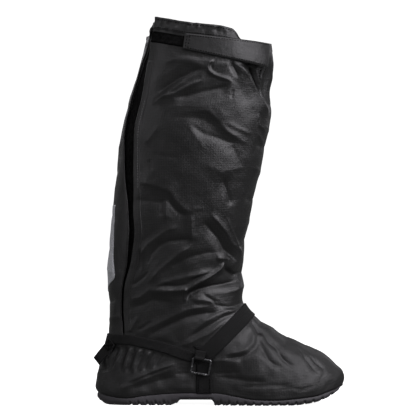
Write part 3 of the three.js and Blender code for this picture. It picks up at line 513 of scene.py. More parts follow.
# Tread and wall of the sole
SOLE_ROWS = 430
NOTCH_WIDTH = 1.0  # the fine cut along each tread bar
NOTCH_DEPTH = 1.3
LUG_DRAFT = 0.5  # width of a bar's sloping flank
TEETH_PER_BAR = 3
TOOTH_SHARP = 1.5
TOOTH_NARROW = 0.2
TOOTH_DEPTH = 0.35  # of the tread's depth
BLOCK_BACK = 0.12  # share of the length where the teeth of the heel block begin
BLOCK_MARGIN = 3
TEETH_FROM = 32  # distance from the middle line
TEETH_FADE = 8
SOLE_WALL = table("inset up", [
    (2.3, 0.0), (1.9, 0.04), (1.6, 0.12), (1.2, 0.2), (0.5, 0.26), (-0.1, 0.32), (-0.6, 0.42),
    (-0.8, 0.55), (-0.75, 0.7), (-0.55, 0.84), (-0.15, 0.94), (0.35, 0.99), (1.2, 1.0),
])
RIM_ROUND = (0.4, 0.5)  # sideways and down
OUTLINE_SAMPLES = 1200
STATION_SAMPLES = 4000
STATION_END = 0.02
EVEN_SHARE = 0.6  # of the spacing along the sole is even in x, the rest is even along its edge
TREAD_COLUMNS = 34
FLOOR_COLUMNS = 10
SOLE_WELD = 0.01

# Stitches
STITCH_LENGTH = 2.3
STITCH_PITCH = 3.3
STITCH_RADIUS = 0.5
HEM_STITCH_INSET = 6.0
HEM_STITCHES = (272, 384)  # heights between which the bright stitches of the opening show
BAR_SIDES = 6
BAR_SHAPE = [(-0.5, 0.25, -0.7), (-0.3, 1.0, 0.0), (0.3, 1.0, 0.0), (0.5, 0.25, -0.7)]  # along, wide, sink
BAND_STITCH_DROPS = (3, COLLAR_BAND_HEIGHT - 2)
BAND_STITCH_SINK = 0.15
PATCH_STITCH_INSET = 1.3
SEAM_STITCH_OFF = 4.6  # from the middle of the front seam, on both sides
SEAM_STITCH_OUT = 0.15
SEAM_STITCH_START = 2
SEAM_STITCH_END = 0.05
STRAP_STITCH_INSET = 2.4
TAB_STITCH_INSET = 2
TAB_BOX_LENGTH = 10
TAB_FOLD_LINE = 6  # distance of the last line from the fold
TAB_STITCH_OUT = GAP + TAB_THICKNESS + 0.25
TAB_STITCH = (2.4, 1.8)  # pitch and length
SIDE_STITCH_INSET = 3
SIDE_STITCH_TOP = 34

# Camera. A pixel of the photograph is SHOWN_PIXEL wide at the middle of the shoe.
PHOTO_PIXELS = 420
SHOWN_PIXEL = 1.27
PIXEL_OF_X0 = 127.8
PIXEL_OF_Z0 = 403.4
CAMERA_AWAY = 4.0
SENSOR = 36
# Stage, in metres
FLOOR_REACH = 7.0
COVE_RADIUS = 2.0
WALL_HEIGHT = 9.0
COVE_STEPS = 9
WALL_SIDES = 64

# Light
STAGE_GLOW = 0.95
LIGHT_COLOUR = (1.0, 0.975, 1.03)
WORLD_LIGHT = 0.16
# Each light: name, place, what it points at, size, power (metres and watts)
LIGHTS = [
    ("key", (1.7, -1.3, 1.4), (0.08, 0, 0.25), (1.7, 1.7), 51),
    ("fill", (-1.8, -1.0, 0.9), (0.05, 0, 0.25), (0.8, 1.5), 5),
    ("top", (0.2, -0.6, 2.0), (0.08, 0, 0.2), (1.6, 1.0), 11),
    ("back_left", (-1.3, 1.8, 1.5), (0.05, 0, 0.25), (1.4, 1.4), 9),
    ("back_right", (1.5, 1.9, 1.2), (0.08, 0, 0.2), (1.2, 1.4), 4),
]

# Surfaces. Pitches are in millimetres, and each share is the part of its pitch that a thread takes.
RIPSTOP_PITCH = 3.1
RIPSTOP_SHARE = 0.16
WEAVE_PITCH = 0.62
WEAVE_SHARE = 0.3
# how much lighter the grid threads are painted: a painted sheen on the raised threads
GRID_SHEEN_LIGHTER = 1.9
RIB_PITCH = 1.1
FOOT_ROUGH_HEIGHTS = (0.06, 0.13)  # in metres, the height over which the foot's duller cloth ends
FOOT_ROUGHER = 0.13  # the cloth of the foot is this much duller than the shaft
RUBBER_BLUE = 0.05

rng = np.random.default_rng(SEED)


# Small helpers
def smooth(t):
    t = np.clip(t, 0, 1)
    return t * t * (3 - 2 * t)


def lerp(a, b, t):
    return a + (b - a) * t


def read(rows, key, at, name):
    """A column of a table between its rows, with no overshoot."""
    keys, values = rows[key], rows[name]
    at = np.asarray(at, float)
    i = np.clip(np.searchsorted(keys[1:], at), 0, len(keys) - 2)
    slope = np.diff(values) / np.diff(keys)
    before, after = np.append(0, slope), np.append(slope, 0)
    size = np.minimum(np.abs(before + after) / 2, 3 * np.minimum(np.abs(before), np.abs(after)))
    tangent = np.where(before * after > 0, size * np.sign(after), 0)
    span = np.diff(keys)[i]
    t = np.clip((at - keys[i]) / span, 0, 1)
    bend = t * (1 - t) * span * ((1 - t) * tangent[i] - t * tangent[i + 1])
    return lerp(values[i], values[i + 1], smooth(t)) + bend


# Smooth skin of the upper, from the sole's edge to the collar
def sole_x(share):
    return share * SOLE_LENGTH - HEEL_BEHIND


def sole_share(x):
    return np.clip((x + HEEL_BEHIND) / SOLE_LENGTH, 0, 1)


def edge_z(x):
    return read(PROFILE, "at", sole_share(x), "edge") * EDGE_HEIGHT


def ground_z(x):
    return read(PROFILE, "at", sole_share(x), "ground") * TOE_SPRING


def arch_share(x):
    return smooth((sole_share(x) - ARCH["start"]) / ARCH["ramp"]) * smooth(
        (ARCH["end"] - sole_share(x)) / ARCH["ramp"])


def under_z(x):
    return lerp(ground_z(x) + TREAD_DEPTH, ARCH_LIFT, arch_share(x))


def all_sections():
    """Sections in millimetres, sole edge first."""
    shaft_rows = len(SHAFT["back"])
    shaft_z = [lerp(INSTEP_HEIGHT, COLLAR_HEIGHT, SHAFT[name]) for name in ("low", "high")]
    made = {
        "back": np.append(sole_x(FOOT["back"]), SHAFT_BACK + SHAFT["back"] * SHAFT_DEPTH),
        "front": np.append(sole_x(FOOT["front"]), SHAFT_BACK + SHAFT["front"] * SHAFT_DEPTH),
        "low": np.append(FOOT["low"] * INSTEP_HEIGHT, shaft_z[0]),
        "high": np.append(FOOT["high"] * INSTEP_HEIGHT, shaft_z[1]),
        "wide": np.append(FOOT["wide"] * BALL_WIDTH / 2, SHAFT["wide"] * CALF_WIDTH / 2),
        "sole": np.append(FOOT["sole"], np.zeros(shaft_rows)),
        "wave": np.append(FOOT["wave"], np.zeros(shaft_rows)),
        "power": np.append(FOOT["power"], np.full(shaft_rows, SHAFT_POWER)),
    }
    made["low"][0] = edge_z(sole_x(0))
    made["high"][0] = edge_z(sole_x(1))
    return made


SECTIONS = all_sections()
TOP_ROW = len(SECTIONS["back"]) - 1


def section_at(v):
    i = np.clip(np.floor(v).astype(int), 0, TOP_ROW - 1)
    t = v - i
    made = {}
    for key, values in SECTIONS.items():
        a, b, c, d = (values[np.clip(i + step, 0, TOP_ROW)] for step in (-1, 0, 1, 2))
        made[key] = b + t / 2 * (c - a + t * (2 * a - 5 * b + 4 * c - d + t * (3 * (b - c) + d - a)))
    return made


def plan_point(u, section):
    c, s = np.cos(2 * np.pi * u), np.sin(2 * np.pi * u)
    power = 2 / section["power"]
    along = (1 - np.sign(c) * np.abs(c) ** power) / 2
    out = np.sign(s) * np.abs(s) ** power
    half = np.where(s > 0, read(PLAN, "at", along, "outer"), read(PLAN, "at", along, "inner"))
    shift = read(PLAN, "at", along, "shift") * BALL_WIDTH / 2
    return along, section["sole"] * shift - out * section["wide"] * lerp(1, half, section["sole"])


def bare_skin(u, v):
    """The smooth outside of the upper: u turns from the back by the outer side, v counts the sections."""
    u, v = np.broadcast_arrays(np.asarray(u, float), np.asarray(v, float))
    section = section_at(np.minimum(v, TOP_ROW))
    along, y = plan_point(u, section)
    x = lerp(section["back"], section["front"], along)
    band = edge_z(x) - lerp(edge_z(sole_x(0)), edge_z(sole_x(1)), along)
    rise = read(COLLAR_EDGE, "around", u - np.floor(u), "rise") * FLAP_RISE
    grown = smooth((v - TOP_ROW + RISE_ROWS) / RISE_ROWS)
    level = lerp(section["low"], section["high"], along) + section["wave"] * band
    return np.stack([x, y, level + rise * grown], -1)


def unit(vectors):
    return vectors / np.maximum(np.linalg.norm(vectors, axis=-1, keepdims=True), 1e-12)


def lengths_along(points):
    """Length of a line of points up to each of them."""
    return np.append(0, np.cumsum(np.linalg.norm(np.diff(points, axis=0), axis=1)))


def bare_normal(u, v):
    row = np.clip(v, STEP, TOP_ROW - STEP)
    across = bare_skin(u + STEP, row) - bare_skin(u - STEP, row)
    up = bare_skin(u, row + STEP) - bare_skin(u, row - STEP)
    return unit(np.cross(across, up))


# Folds, creases and unevenness of the cloth
def fold_depth(point):
    """Depth of the main folds that the solids have too."""
    depth = np.zeros(point.shape[:-1])
    for fold in FOLDS:
        tilt = math.radians(fold["tilt"])
        dx = point[..., 0] - (SHAFT_BACK + fold["x"] * SHAFT_DEPTH)
        dz = point[..., 2] - lerp(INSTEP_HEIGHT, COLLAR_HEIGHT, fold["z"])
        along = (dx * math.cos(tilt) + dz * math.sin(tilt)) / (fold["long"] * SHAFT_DEPTH)
        across = (dz * math.cos(tilt) - dx * math.sin(tilt)) / (fold["short"] * SHAFT_DEPTH)
        fade = smooth(np.abs(point[..., 1]) / (CALF_WIDTH / 8)) * (np.sign(point[..., 1]) == fold["side"])
        depth += fade * fold["depth"] * CALF_WIDTH / 2 * np.exp(-along * along - across * across)
    return depth


def to_line(a, b, line):
    """Signed distance from points to a polyline (left of it is positive), and the share of its length."""
    line = np.array(line, float)
    lengths = np.linalg.norm(np.diff(line, axis=0), axis=1)
    nearest = np.full(a.shape, 1e9)
    signed = np.zeros(a.shape)
    share = np.zeros(a.shape)
    done = 0
    for start, end, length in zip(line, line[1:], lengths):
        along = (end - start) / length
        da, db = a - start[0], b - start[1]
        t = np.clip(da * along[0] + db * along[1], 0, length)
        off = np.hypot(da - t * along[0], db - t * along[1])
        side = np.sign(along[0] * db - along[1] * da)
        closer = off < nearest
        nearest = np.where(closer, off, nearest)
        signed = np.where(closer, off * np.where(side == 0, 1, side), signed)
        share = np.where(closer, (done + t) / lengths.sum(), share)
        done += length
    return signed, share


def crease_heights(points, normals):
    """Height of the listed creases at points of the skin."""
    height = np.zeros(points.shape[:-1])
    for side, rows in CREASES.items():
        first, second, facing = FACINGS[side]
        fade = smooth((normals @ np.array(facing, float) - FACING_FROM) / FACING_OVER)
        a, b = points[..., first], points[..., second]
        for size, above, below, line in rows:
            reach = max(above, below) + CREST_ROUND
            low, high = np.min(line, axis=0) - reach, np.max(line, axis=0) + reach
            near = (fade > 0) & (a > low[0]) & (a < high[0]) & (b > low[1]) & (b < high[1])
            if not near.any():
                continue
            signed, share = to_line(a[near], b[near], line)
            wide = np.where(signed > 0, above, below)
            off = (np.hypot(signed, CREST_ROUND) - CREST_ROUND) / wide
            crest = np.clip(1 - off / CREST_REACH, 0, 1) ** CREST_POWER
            flank = np.clip(1 - off, 0, 1)
            base = flank * flank / (flank + FOOT_ROUND) * (1 + FOOT_ROUND)
            body = lerp(base, crest, CREST_SHARE)
            ends = smooth(np.minimum(share, 1 - share) / CREASE_TAPER + END_HEIGHT)
            height[near] += size * body * ends * fade[near]
    return height


def make_waves(count, longest, shortest):
    direction = unit(rng.normal(size=(count, 3)))
    length = shortest * (longest / shortest) ** rng.random(count)
    return direction * (2 * np.pi / length)[:, None], rng.random(count) * 2 * np.pi, length / longest


PILLOWS = make_waves(PILLOW_WAVES, *PILLOW_LENGTHS)
COLLAR_CRUMPLES = make_waves(CRUMPLES, *CRUMPLE_LENGTHS)
FINE_CRUMPLES = make_waves(CRUMPLES, *FINE_LENGTHS)


def wave_heights(points, made, height):
    """Unevenness of slack cloth, as a sum of waves."""
    waves, phase, size = made
    return height * (np.sin(points @ waves.T + phase) @ size) / math.sqrt(len(size)) * 2


def route_mm(route):
    return [(sole_x(x), z * INSTEP_HEIGHT) for x, z in route]


def pressed(points):
    """1 where a strap presses on the cloth, 0 away from it."""
    x, z, y = points[..., 0], points[..., 2], points[..., 1]
    share = np.zeros(x.shape)
    instep = route_mm(INSTEP_ROUTE)
    side_x = sole_x(SIDE_STRAP_AT)
    lines = [
        (instep, WEBBING_WIDTH, 0),
        (route_mm(HEEL_ROUTE), HEEL_STRAP_WIDTH, 0),
        ([(side_x, 0), (side_x, BUCKLE_AT[1] * INSTEP_HEIGHT)], WEBBING_WIDTH, OUTER),
        ([instep[-1], (instep[-1][0], 0)], WEBBING_WIDTH, INNER),
        (collar_strap_route(), COLLAR_STRAP_ROOT_WIDTH, OUTER),
    ]
    for line, wide, side in lines:
        off = np.abs(to_line(x, z, line)[0])
        near = 1 - smooth((off - wide / 2 - PRESS_MARGIN) / PRESS_FADE)
        share = np.maximum(share, np.where((side == 0) | (np.sign(y) == side), near, 0))
    return share


def relief(u, v, point, normal):
    """Everything that the cloth does beyond the smooth skin: creases and unevenness."""
    top = bare_skin(u, TOP_ROW)[..., 2]
    from_sole = point[..., 2] - edge_z(point[..., 0])
    calm = smooth((top - point[..., 2]) / CALM_EDGE + CALM_START) * smooth(from_sole / CALM_EDGE)
    side_on = smooth(np.abs(normal[..., 1]) * SIDE_ON)
    foot = 1 - smooth((point[..., 2] / INSTEP_HEIGHT - FOOT_TOP) / FOOT_FADE)
    height = crease_heights(point, normal) * lerp(FRONT_SHARE, 1, side_on)
    height += wave_heights(point, PILLOWS, PILLOW_HEIGHT) * lerp(OUTLINE_CALM, 1, side_on)
    height += wave_heights(point, FINE_CRUMPLES, lerp(FINE_HEIGHT, FOOT_FINE_HEIGHT, foot))
    crumpled = 1 - smooth((top - point[..., 2]) / CRUMPLE_DROP)
    height = height * calm + wave_heights(point, COLLAR_CRUMPLES, CRUMPLE_HEIGHT) * crumpled
    press = pressed(point)
    left = 1 - press * np.where(height > 0, 1, TROUGH_PRESS)
    return height * left - PRESS_DEPTH * press


# Places on the skin
def skin(u, v, out, folded=True):
    """Points at a distance out of the cloth, or of the smooth skin where the cloth isn't folded."""
    u, v = np.broadcast_arrays(np.asarray(u, float), np.asarray(v, float))
    point, normal = bare_skin(u, v), bare_normal(u, v)
    moved = relief(u, v, point, normal) - fold_depth(point) if folded else np.zeros(u.shape)
    return point + normal * (out + moved)[..., None]


def opening_line(side, v):
    """Turns of the opening's back edge (side -1) or front edge (side 1)."""
    up = bare_skin(OPENING_TURN, v)[..., 2] / COLLAR_HEIGHT
    return read(OPENING, "up", up, "middle") + side * read(OPENING, "up", up, "half")


def row_at_height(height, u=0):
    """The row where the skin reaches a height, at one turn round the shoe."""
    low, high = 0, TOP_ROW
    for _ in range(HEIGHT_TRIES):
        middle = (low + high) / 2
        if bare_skin(u, middle)[2] < height:
            low = middle
        else:
            high = middle
    return (low + high) / 2


def opening_row(above=0):
    """The row at the opening's lower end, or a height above it."""
    return row_at_height(OPENING["up"][0] * COLLAR_HEIGHT + above, OPENING_TURN)


def turns_per_mm(v):
    moved = bare_skin(OPENING_TURN + STEP, v) - bare_skin(OPENING_TURN, v)
    return STEP / np.linalg.norm(moved, axis=-1)


def skin_at(x, z, side):
    """Where the skin of one side shows at points of the side view."""
    x, z = np.broadcast_arrays(np.asarray(x, float), np.asarray(z, float))
    u = np.full(x.shape, 0.25 if side < 0 else 0.75)
    v = np.full(x.shape, TOP_ROW / 2)
    for _ in range(SKIN_TRIES):
        at = bare_skin(u, v)
        du = (bare_skin(u + STEP, v) - at) / STEP
        dv = (bare_skin(u, v + STEP) - at) / STEP
        det = du[..., 0] * dv[..., 2] - du[..., 2] * dv[..., 0]
        det = np.where(np.abs(det) < LEAST, LEAST, det)
        ex, ez = x - at[..., 0], z - at[..., 2]
        u = u + np.clip((ex * dv[..., 2] - ez * dv[..., 0]) / det, -MOST_TURN, MOST_TURN)
        v = v + np.clip((du[..., 0] * ez - du[..., 2] * ex) / det, -1, 1)
        v = np.clip(v, 0, TOP_ROW - STEP)
    return u, v


# Meshes
def make_mesh(name, points, faces, materials, slots=None, place=None):
    """A mesh object in metres from millimetre points, with a place on its cloth as an attribute."""
    mesh = bpy.data.meshes.new(name)
    mesh.from_pydata((np.asarray(points) * MM).tolist(), [], [tuple(map(int, face)) for face in faces])
    for material in materials:
        mesh.materials.append(material)
    if slots is not None:
        mesh.polygons.foreach_set("material_index", np.asarray(slots, np.int32))
    if place is not None:
        layer = mesh.attributes.new("cloth_place", "FLOAT_VECTOR", "POINT")
        layer.data.foreach_set("vector", np.asarray(place, np.float32).ravel())
    mesh.polygons.foreach_set("use_smooth", np.full(len(mesh.polygons), True))
    mesh.validate()
    mesh.update()
    made = bpy.data.objects.new(name, mesh)
    bpy.context.scene.collection.objects.link(made)
    return made


def rework(piece, change):
    """Changes the mesh of a piece."""
    work = bmesh.new()
    work.from_mesh(piece.data)
    change(work)
    work.to_mesh(piece.data)
    work.free()


def weld(piece, distance):
    rework(piece, lambda work: bmesh.ops.remove_doubles(work, verts=work.verts, dist=distance * MM))


def fix_normals(piece):
    rework(piece, lambda work: bmesh.ops.recalc_face_normals(work, faces=work.faces))


def keep(piece, slot, *nodes):
    """Rides a piece on the body and hides the solids that it stands for. Its slot is not used."""
    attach(piece, BODY)
    if nodes:
        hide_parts(*nodes)


def grid_faces(rows, columns, start=0, flip=False, closed=False):
    """Quads of a grid of points, row by row."""
    faces = []
    for j in range(rows - 1):
        for i in range(columns if closed else columns - 1):
            side = (i + 1) % columns
            a, b = start + j * columns + i, start + j * columns + side
            quad = (a, b, b + columns, a + columns)
            faces.append(quad[::-1] if flip else quad)
    return faces


def sheet_faces(rows, columns):
    """Faces of a thin solid: a grid outside, the same grid inside and a rim round both."""
    count = rows * columns
    rim = [*range(columns), *(j * columns + columns - 1 for j in range(1, rows)),
           *((rows - 1) * columns + i for i in range(columns - 2, -1, -1)),
           *(j * columns for j in range(rows - 2, 0, -1))]
    faces = grid_faces(rows, columns) + grid_faces(rows, columns, count, flip=True)
    return faces + [(b, a, a + count, b + count) for a, b in zip(rim, rim[1:] + rim[:1])]


def edge_round(from_edge, radius):
    """0 at an edge and 1 from a distance inside it, along a quarter circle."""
    return np.sqrt(1 - (1 - np.clip(from_edge / radius, 0, 1)) ** 2)


def arc_place(points):
    """Lengths along a grid's rows and columns, in millimetres."""
    across = np.cumsum(np.linalg.norm(np.diff(points, axis=1, prepend=points[:, :1]), axis=-1), axis=1)
    up = np.cumsum(np.linalg.norm(np.diff(points, axis=0, prepend=points[:1]), axis=-1), axis=0)
    return np.stack([across, np.broadcast_to(up.mean(1)[:, None], across.shape), np.zeros(across.shape)], -1)


def sheet_solid(name, u, v, low, thickness, look, folded=True, rounding=EDGE_ROUND, bulge=0.0):
    """A thin solid on the skin over a grid of places, with rounded edges."""
    base = skin(u, v, 0, folded)
    normal = bare_normal(u, v)
    place = arc_place(base)
    wide = place[:, -1:, 0]
    tall = place[-1:, :, 1]
    rim = np.minimum(
        np.minimum(place[..., 0], wide - place[..., 0]),
        np.minimum(place[..., 1], tall - place[..., 1]),
    )
    thick = thickness * lerp(EDGE_SHARE, 1, edge_round(rim, rounding))
    crown = bulge * np.sin(np.pi * np.clip(place[..., 0] / wide, 0, 1))
    outside = base + normal * (low + thick + crown)[..., None]
    inside = base + normal * low
    points = np.concatenate([outside.reshape(-1, 3), inside.reshape(-1, 3)])
    both = np.concatenate([place.reshape(-1, 3)] * 2)
    return make_mesh(name, points, sheet_faces(*u.shape), [look], place=both)


def border_share(count, ends=0.02):
    """Even shares with one close to each end, so that a rounded edge has points."""
    inner = np.linspace(ends, 1 - ends, count - 2)
    return np.concatenate([[0], inner, [1]])


def band_on_side(route, widths, side, steps, across):
    """Places on one side for a band of some width along a route in the side view."""
    route = np.array(route, float)
    lengths = lengths_along(route)
    at = border_share(steps) * lengths[-1]
    centre = np.stack([np.interp(at, lengths, route[:, k]) for k in (0, 1)], -1)
    along = np.gradient(centre, axis=0)
    along /= np.linalg.norm(along, axis=1, keepdims=True)
    half = np.interp(at, lengths, np.broadcast_to(widths, len(route))) / 2
    beside = np.stack([-along[:, 1], along[:, 0]], -1) * half[:, None]
    share = border_share(across, ROW_ENDS)[None, :, None]
    spots = lerp((centre + beside)[:, None], (centre - beside)[:, None], share)
    return skin_at(spots[..., 0], spots[..., 1], side)


# Materials
class Nodes:
    """A short way to write a node tree."""

    def __init__(self, name):
        self.material = bpy.data.materials.new(name)
        self.material.use_nodes = True
        self.tree = self.material.node_tree
        self.shader = self.tree.nodes["Principled BSDF"]

    def give(self, socket, value):
        if isinstance(value, bpy.types.NodeSocket):
            self.tree.links.new(value, socket)
        else:
            socket.default_value = value

    def add(self, kind, inputs=None, **settings):
        node = self.tree.nodes.new(kind)
        for key, value in settings.items():
            setattr(node, key, value)
        for key, value in (inputs or {}).items():
            self.give(node.inputs[key], value)
        return node

    def math(self, operation, a, b=0.0):
        return self.add("ShaderNodeMath", {0: a, 1: b}, operation=operation).outputs[0]

    def ramp(self, value, low, high, to_low=0.0, to_high=1.0):
        ends = {"Value": value, "From Min": low, "From Max": high, "To Min": to_low, "To Max": to_high}
        return self.add("ShaderNodeMapRange", ends, interpolation_type="SMOOTHSTEP").outputs[0]

    def mix(self, share, a, b):
        return self.add("ShaderNodeMix", {0: share, 6: a, 7: b}, data_type="RGBA").outputs[2]

    def place(self):
        return self.add("ShaderNodeAttribute", attribute_name="cloth_place").outputs["Vector"]

    def object_place(self):
        return self.add("ShaderNodeTexCoord").outputs["Object"]

    def noise(self, scale, detail=3, roughness=0.5, vector=None):
        inputs = {"Scale": scale, "Detail": detail, "Roughness": roughness}
        inputs["Vector"] = vector or self.object_place()
        return self.add("ShaderNodeTexNoise", inputs).outputs[0]

    def bump(self, height, distance, strength=1.0, normal=None):
        inputs = {"Height": height, "Distance": distance, "Strength": strength}
        if normal is not None:
            inputs["Normal"] = normal
        return self.add("ShaderNodeBump", inputs).outputs[0]

    def set(self, **values):
        for key, value in values.items():
            self.give(self.shader.inputs[key.replace("_", " ")], value)
        return self.material


def grey(value, blue=0.0):
    return (value, value * (1 - blue), value * (1 + blue), 1)


def threads(made, pitch, share, place):
    """Values on thin lines across and along the cloth at a pitch: 1 on a line, 0 between the lines."""
    split = made.add("ShaderNodeSeparateXYZ", {0: place})
    for axis in (0, 1):
        turn = made.math("FRACT", made.math("DIVIDE", split.outputs[axis], pitch))
        off = made.math("ABSOLUTE", made.math("SUBTRACT", turn, 0.5))
        yield made.ramp(off, 0.5 - share, 0.5 - share / 3)


def cloth_material(name, low, high, roughness, thick_threads=1.0):
    """Coated ripstop nylon: a fine weave, a grid of thicker threads with a painted sheen on them, and soft
    wear.
    """
    made = Nodes(name)
    place = made.place()
    grid = made.math("MAXIMUM", *threads(made, RIPSTOP_PITCH, RIPSTOP_SHARE, place))
    weave = made.math("ADD", *threads(made, WEAVE_PITCH, WEAVE_SHARE, place))
    crinkle = made.bump(made.noise(0.09, detail=5, roughness=0.62, vector=place), 1.4 * MM, 0.5)
    rough = made.bump(made.noise(0.33, detail=4, roughness=0.6, vector=place), 0.3 * MM, 0.5, crinkle)
    height = made.math("ADD", made.math("MULTIPLY", grid, thick_threads), made.math("MULTIPLY", weave, 0.35))
    normal = made.bump(height, 0.12 * MM, 0.45, rough)
    patches = made.ramp(made.noise(14, roughness=0.55), 0.35, 0.65)
    colour = made.mix(patches, grey(low), grey(high))
    # the grid threads are painted lighter: a painted sheen on the raised threads
    grid_sheen = made.math("MULTIPLY", grid, 0.5 * thick_threads)
    colour = made.mix(grid_sheen, colour, grey(high * GRID_SHEEN_LIGHTER))
    up = made.add("ShaderNodeSeparateXYZ", {0: made.object_place()}).outputs[2]
    foot = made.ramp(up, *FOOT_ROUGH_HEIGHTS, FOOT_ROUGHER, 0.0)
    worn = made.ramp(made.noise(22, detail=4), 0.3, 0.7, roughness - 0.05, roughness + 0.06)
    return made.set(Base_Color=colour, Roughness=made.math("ADD", worn, foot), Normal=normal)


def webbing_material(name, low, high):
    """Woven tape: ribs that cross at a slant, with short fibres on them, and painted shade in the grooves
    between the ribs.
    """
    made = Nodes(name)
    split = made.add("ShaderNodeSeparateXYZ", {0: made.place()})
    ribs = []
    for kind in ("ADD", "SUBTRACT"):
        slant = made.math(kind, split.outputs[0], split.outputs[1])
        ribs.append(made.math("SINE", made.math("MULTIPLY", slant, 2 * math.pi / RIB_PITCH)))
    height = made.math("MULTIPLY", *ribs)
    fuzz = made.math("MULTIPLY", made.noise(900, detail=2), 0.6)
    normal = made.bump(made.math("ADD", height, fuzz), 0.16 * MM, 0.8)
    # colour follows the ribs' height: painted shade in the grooves and a painted highlight on the rib tops
    colour = made.mix(made.ramp(height, -0.6, 0.8), grey(low), grey(high))
    return made.set(Base_Color=colour, Roughness=0.72, Normal=normal, Specular_IOR_Level=0.16)


def pile_material():
    """Loop tape: short matte fibres."""
    made = Nodes("pile_tape")
    fibre = made.noise(1400, detail=4, roughness=0.7)
    clumps = made.noise(260, roughness=0.6)
    height = made.math("ADD", fibre, made.math("MULTIPLY", clumps, 0.7))
    normal = made.bump(height, 0.5 * MM)
    colour = made.mix(made.ramp(clumps, 0.35, 0.7), grey(0.003), grey(0.009))
    return made.set(Base_Color=colour, Roughness=1.0, Normal=normal, Specular_IOR_Level=0.06)


def rubber_material(name, low, high):
    """Moulded rubber with patches of dust at random."""
    made = Nodes(name)
    fine = made.noise(700, detail=4, roughness=0.6)
    soft = made.noise(55)
    normal = made.bump(fine, 0.12 * MM, 0.6)
    colour = made.mix(made.ramp(soft, 0.3, 0.7), grey(low, RUBBER_BLUE), grey(high, RUBBER_BLUE))
    rough = made.ramp(soft, 0.3, 0.7, 0.55, 0.72)
    return made.set(Base_Color=colour, Roughness=rough, Normal=normal, Specular_IOR_Level=0.4)


def reflective_material():
    """Silver print of fine dots on cloth."""
    made = Nodes("reflective_print")
    place = made.place()
    settings = {"Vector": place, "Scale": 0.9, "Randomness": 0.35}
    cells = made.add("ShaderNodeTexVoronoi", settings).outputs["Distance"]
    dots = made.ramp(cells, 0.3, 0.5)
    worn = made.ramp(made.noise(60, detail=4), 0.35, 0.6)
    colour = made.mix(dots, (0.8, 0.81, 0.84, 1), (0.32, 0.33, 0.35, 1))
    colour = made.mix(made.math("MULTIPLY", worn, 0.35), colour, (0.45, 0.46, 0.48, 1))
    normal = made.bump(cells, 0.1 * MM, 0.5)
    return made.set(Base_Color=colour, Roughness=0.6, Normal=normal)


def steel_material():
    """Black-plated wire, rubbed bright in places."""
    made = Nodes("black_steel")
    worn = made.ramp(made.noise(320, detail=4, roughness=0.65), 0.56, 0.68)
    colour = made.mix(worn, (0.11, 0.11, 0.115, 1), (0.6, 0.6, 0.61, 1))
    rough = made.ramp(made.noise(500), 0.3, 0.7, 0.22, 0.4)
    normal = made.bump(made.noise(800), 0.03 * MM, 0.5)
    return made.set(Base_Color=colour, Roughness=rough, Metallic=0.9, Normal=normal)


def thread_material(name, low, high, gloss):
    made = Nodes(name)
    twist = made.noise(2500)
    colour = made.mix(made.ramp(twist, 0.3, 0.7), grey(low), grey(high))
    return made.set(Base_Color=colour, Roughness=0.6, Specular_IOR_Level=gloss,
                    Normal=made.bump(twist, 0.05 * MM, 0.6))


def stage_material(name, value):
    made = Nodes(name)
    return made.set(Base_Color=grey(value), Roughness=0.9, Specular_IOR_Level=0.1,
                    Emission_Color=(1, 1, 1, 1), Emission_Strength=STAGE_GLOW)


CLOTH_LOOK = cloth_material("coated_nylon", 0.005, 0.0075, 0.38)
LINING_LOOK = cloth_material("nylon_lining", 0.010, 0.014, 0.62)
HEM_LOOK = cloth_material("nylon_hem", 0.009, 0.013, 0.42, 0.4)
STRAP_LOOK = cloth_material("nylon_strap", 0.011, 0.015, 0.42, 0.3)
WEBBING_LOOK = webbing_material("black_webbing", 0.006, 0.015)
PILE_LOOK = pile_material()
RUBBER_LOOK = rubber_material("black_rubber", 0.038, 0.056)
REFLECTIVE_LOOK = reflective_material()
STEEL_LOOK = steel_material()
THREAD_LOOK = thread_material("sewing_thread", 0.05, 0.12, 0.5)
DARK_THREAD_LOOK = thread_material("dark_thread", 0.001, 0.002, 0.02)


# Upper
def row_numbers(count):
    """Row numbers that lie evenly along the outer side."""
    fine = np.linspace(0, TOP_ROW, ROW_SAMPLES)
    length = sum(lengths_along(bare_skin(u, fine)) for u in ROW_TURNS)
    return np.interp(np.linspace(0, length[-1], count), length, fine)


def column_shares(count):
    """Shares of the way round, closer together on the outer side."""
    outer = int(round((count - 1) * OUTER_SHARE))
    return np.append(np.linspace(0, OUTER_END, outer + 1), np.linspace(OUTER_END, 1, count - outer)[1:])


def make_upper():
    rows, columns = UPPER_ROWS + 1, UPPER_COLUMNS + 1
    numbers = row_numbers(rows)
    shares = column_shares(columns)
    shut = int(np.searchsorted(numbers, opening_row())) // INNER_STEP * INNER_STEP
    is_open = (np.arange(rows) > shut)[:, None]
    middle = (opening_line(-1, numbers) + opening_line(1, numbers))[:, None] / 2
    start = np.where(is_open, opening_line(1, numbers)[:, None], middle)
    end = np.where(is_open, opening_line(-1, numbers)[:, None], middle) + 1
    u = lerp(start, end, shares[None, :])
    v = np.broadcast_to(numbers[:, None], u.shape)
    point, normal = bare_skin(u, v), bare_normal(u, v)
    moved = relief(u, v, point, normal) - fold_depth(point)
    outside = point + normal * moved[..., None]
    lowest = moved.copy()
    for _ in range(INNER_STEP):
        grown = np.pad(lowest, 1, mode="edge")
        lowest = np.minimum.reduce([grown[1:-1, 1:-1], grown[:-2, 1:-1], grown[2:, 1:-1],
                                    grown[1:-1, :-2], grown[1:-1, 2:]])
    inside = (point + normal * (lowest - CLOTH)[..., None])[::INNER_STEP, ::INNER_STEP]
    join_upper(outside, inside, arc_place(point), shut)


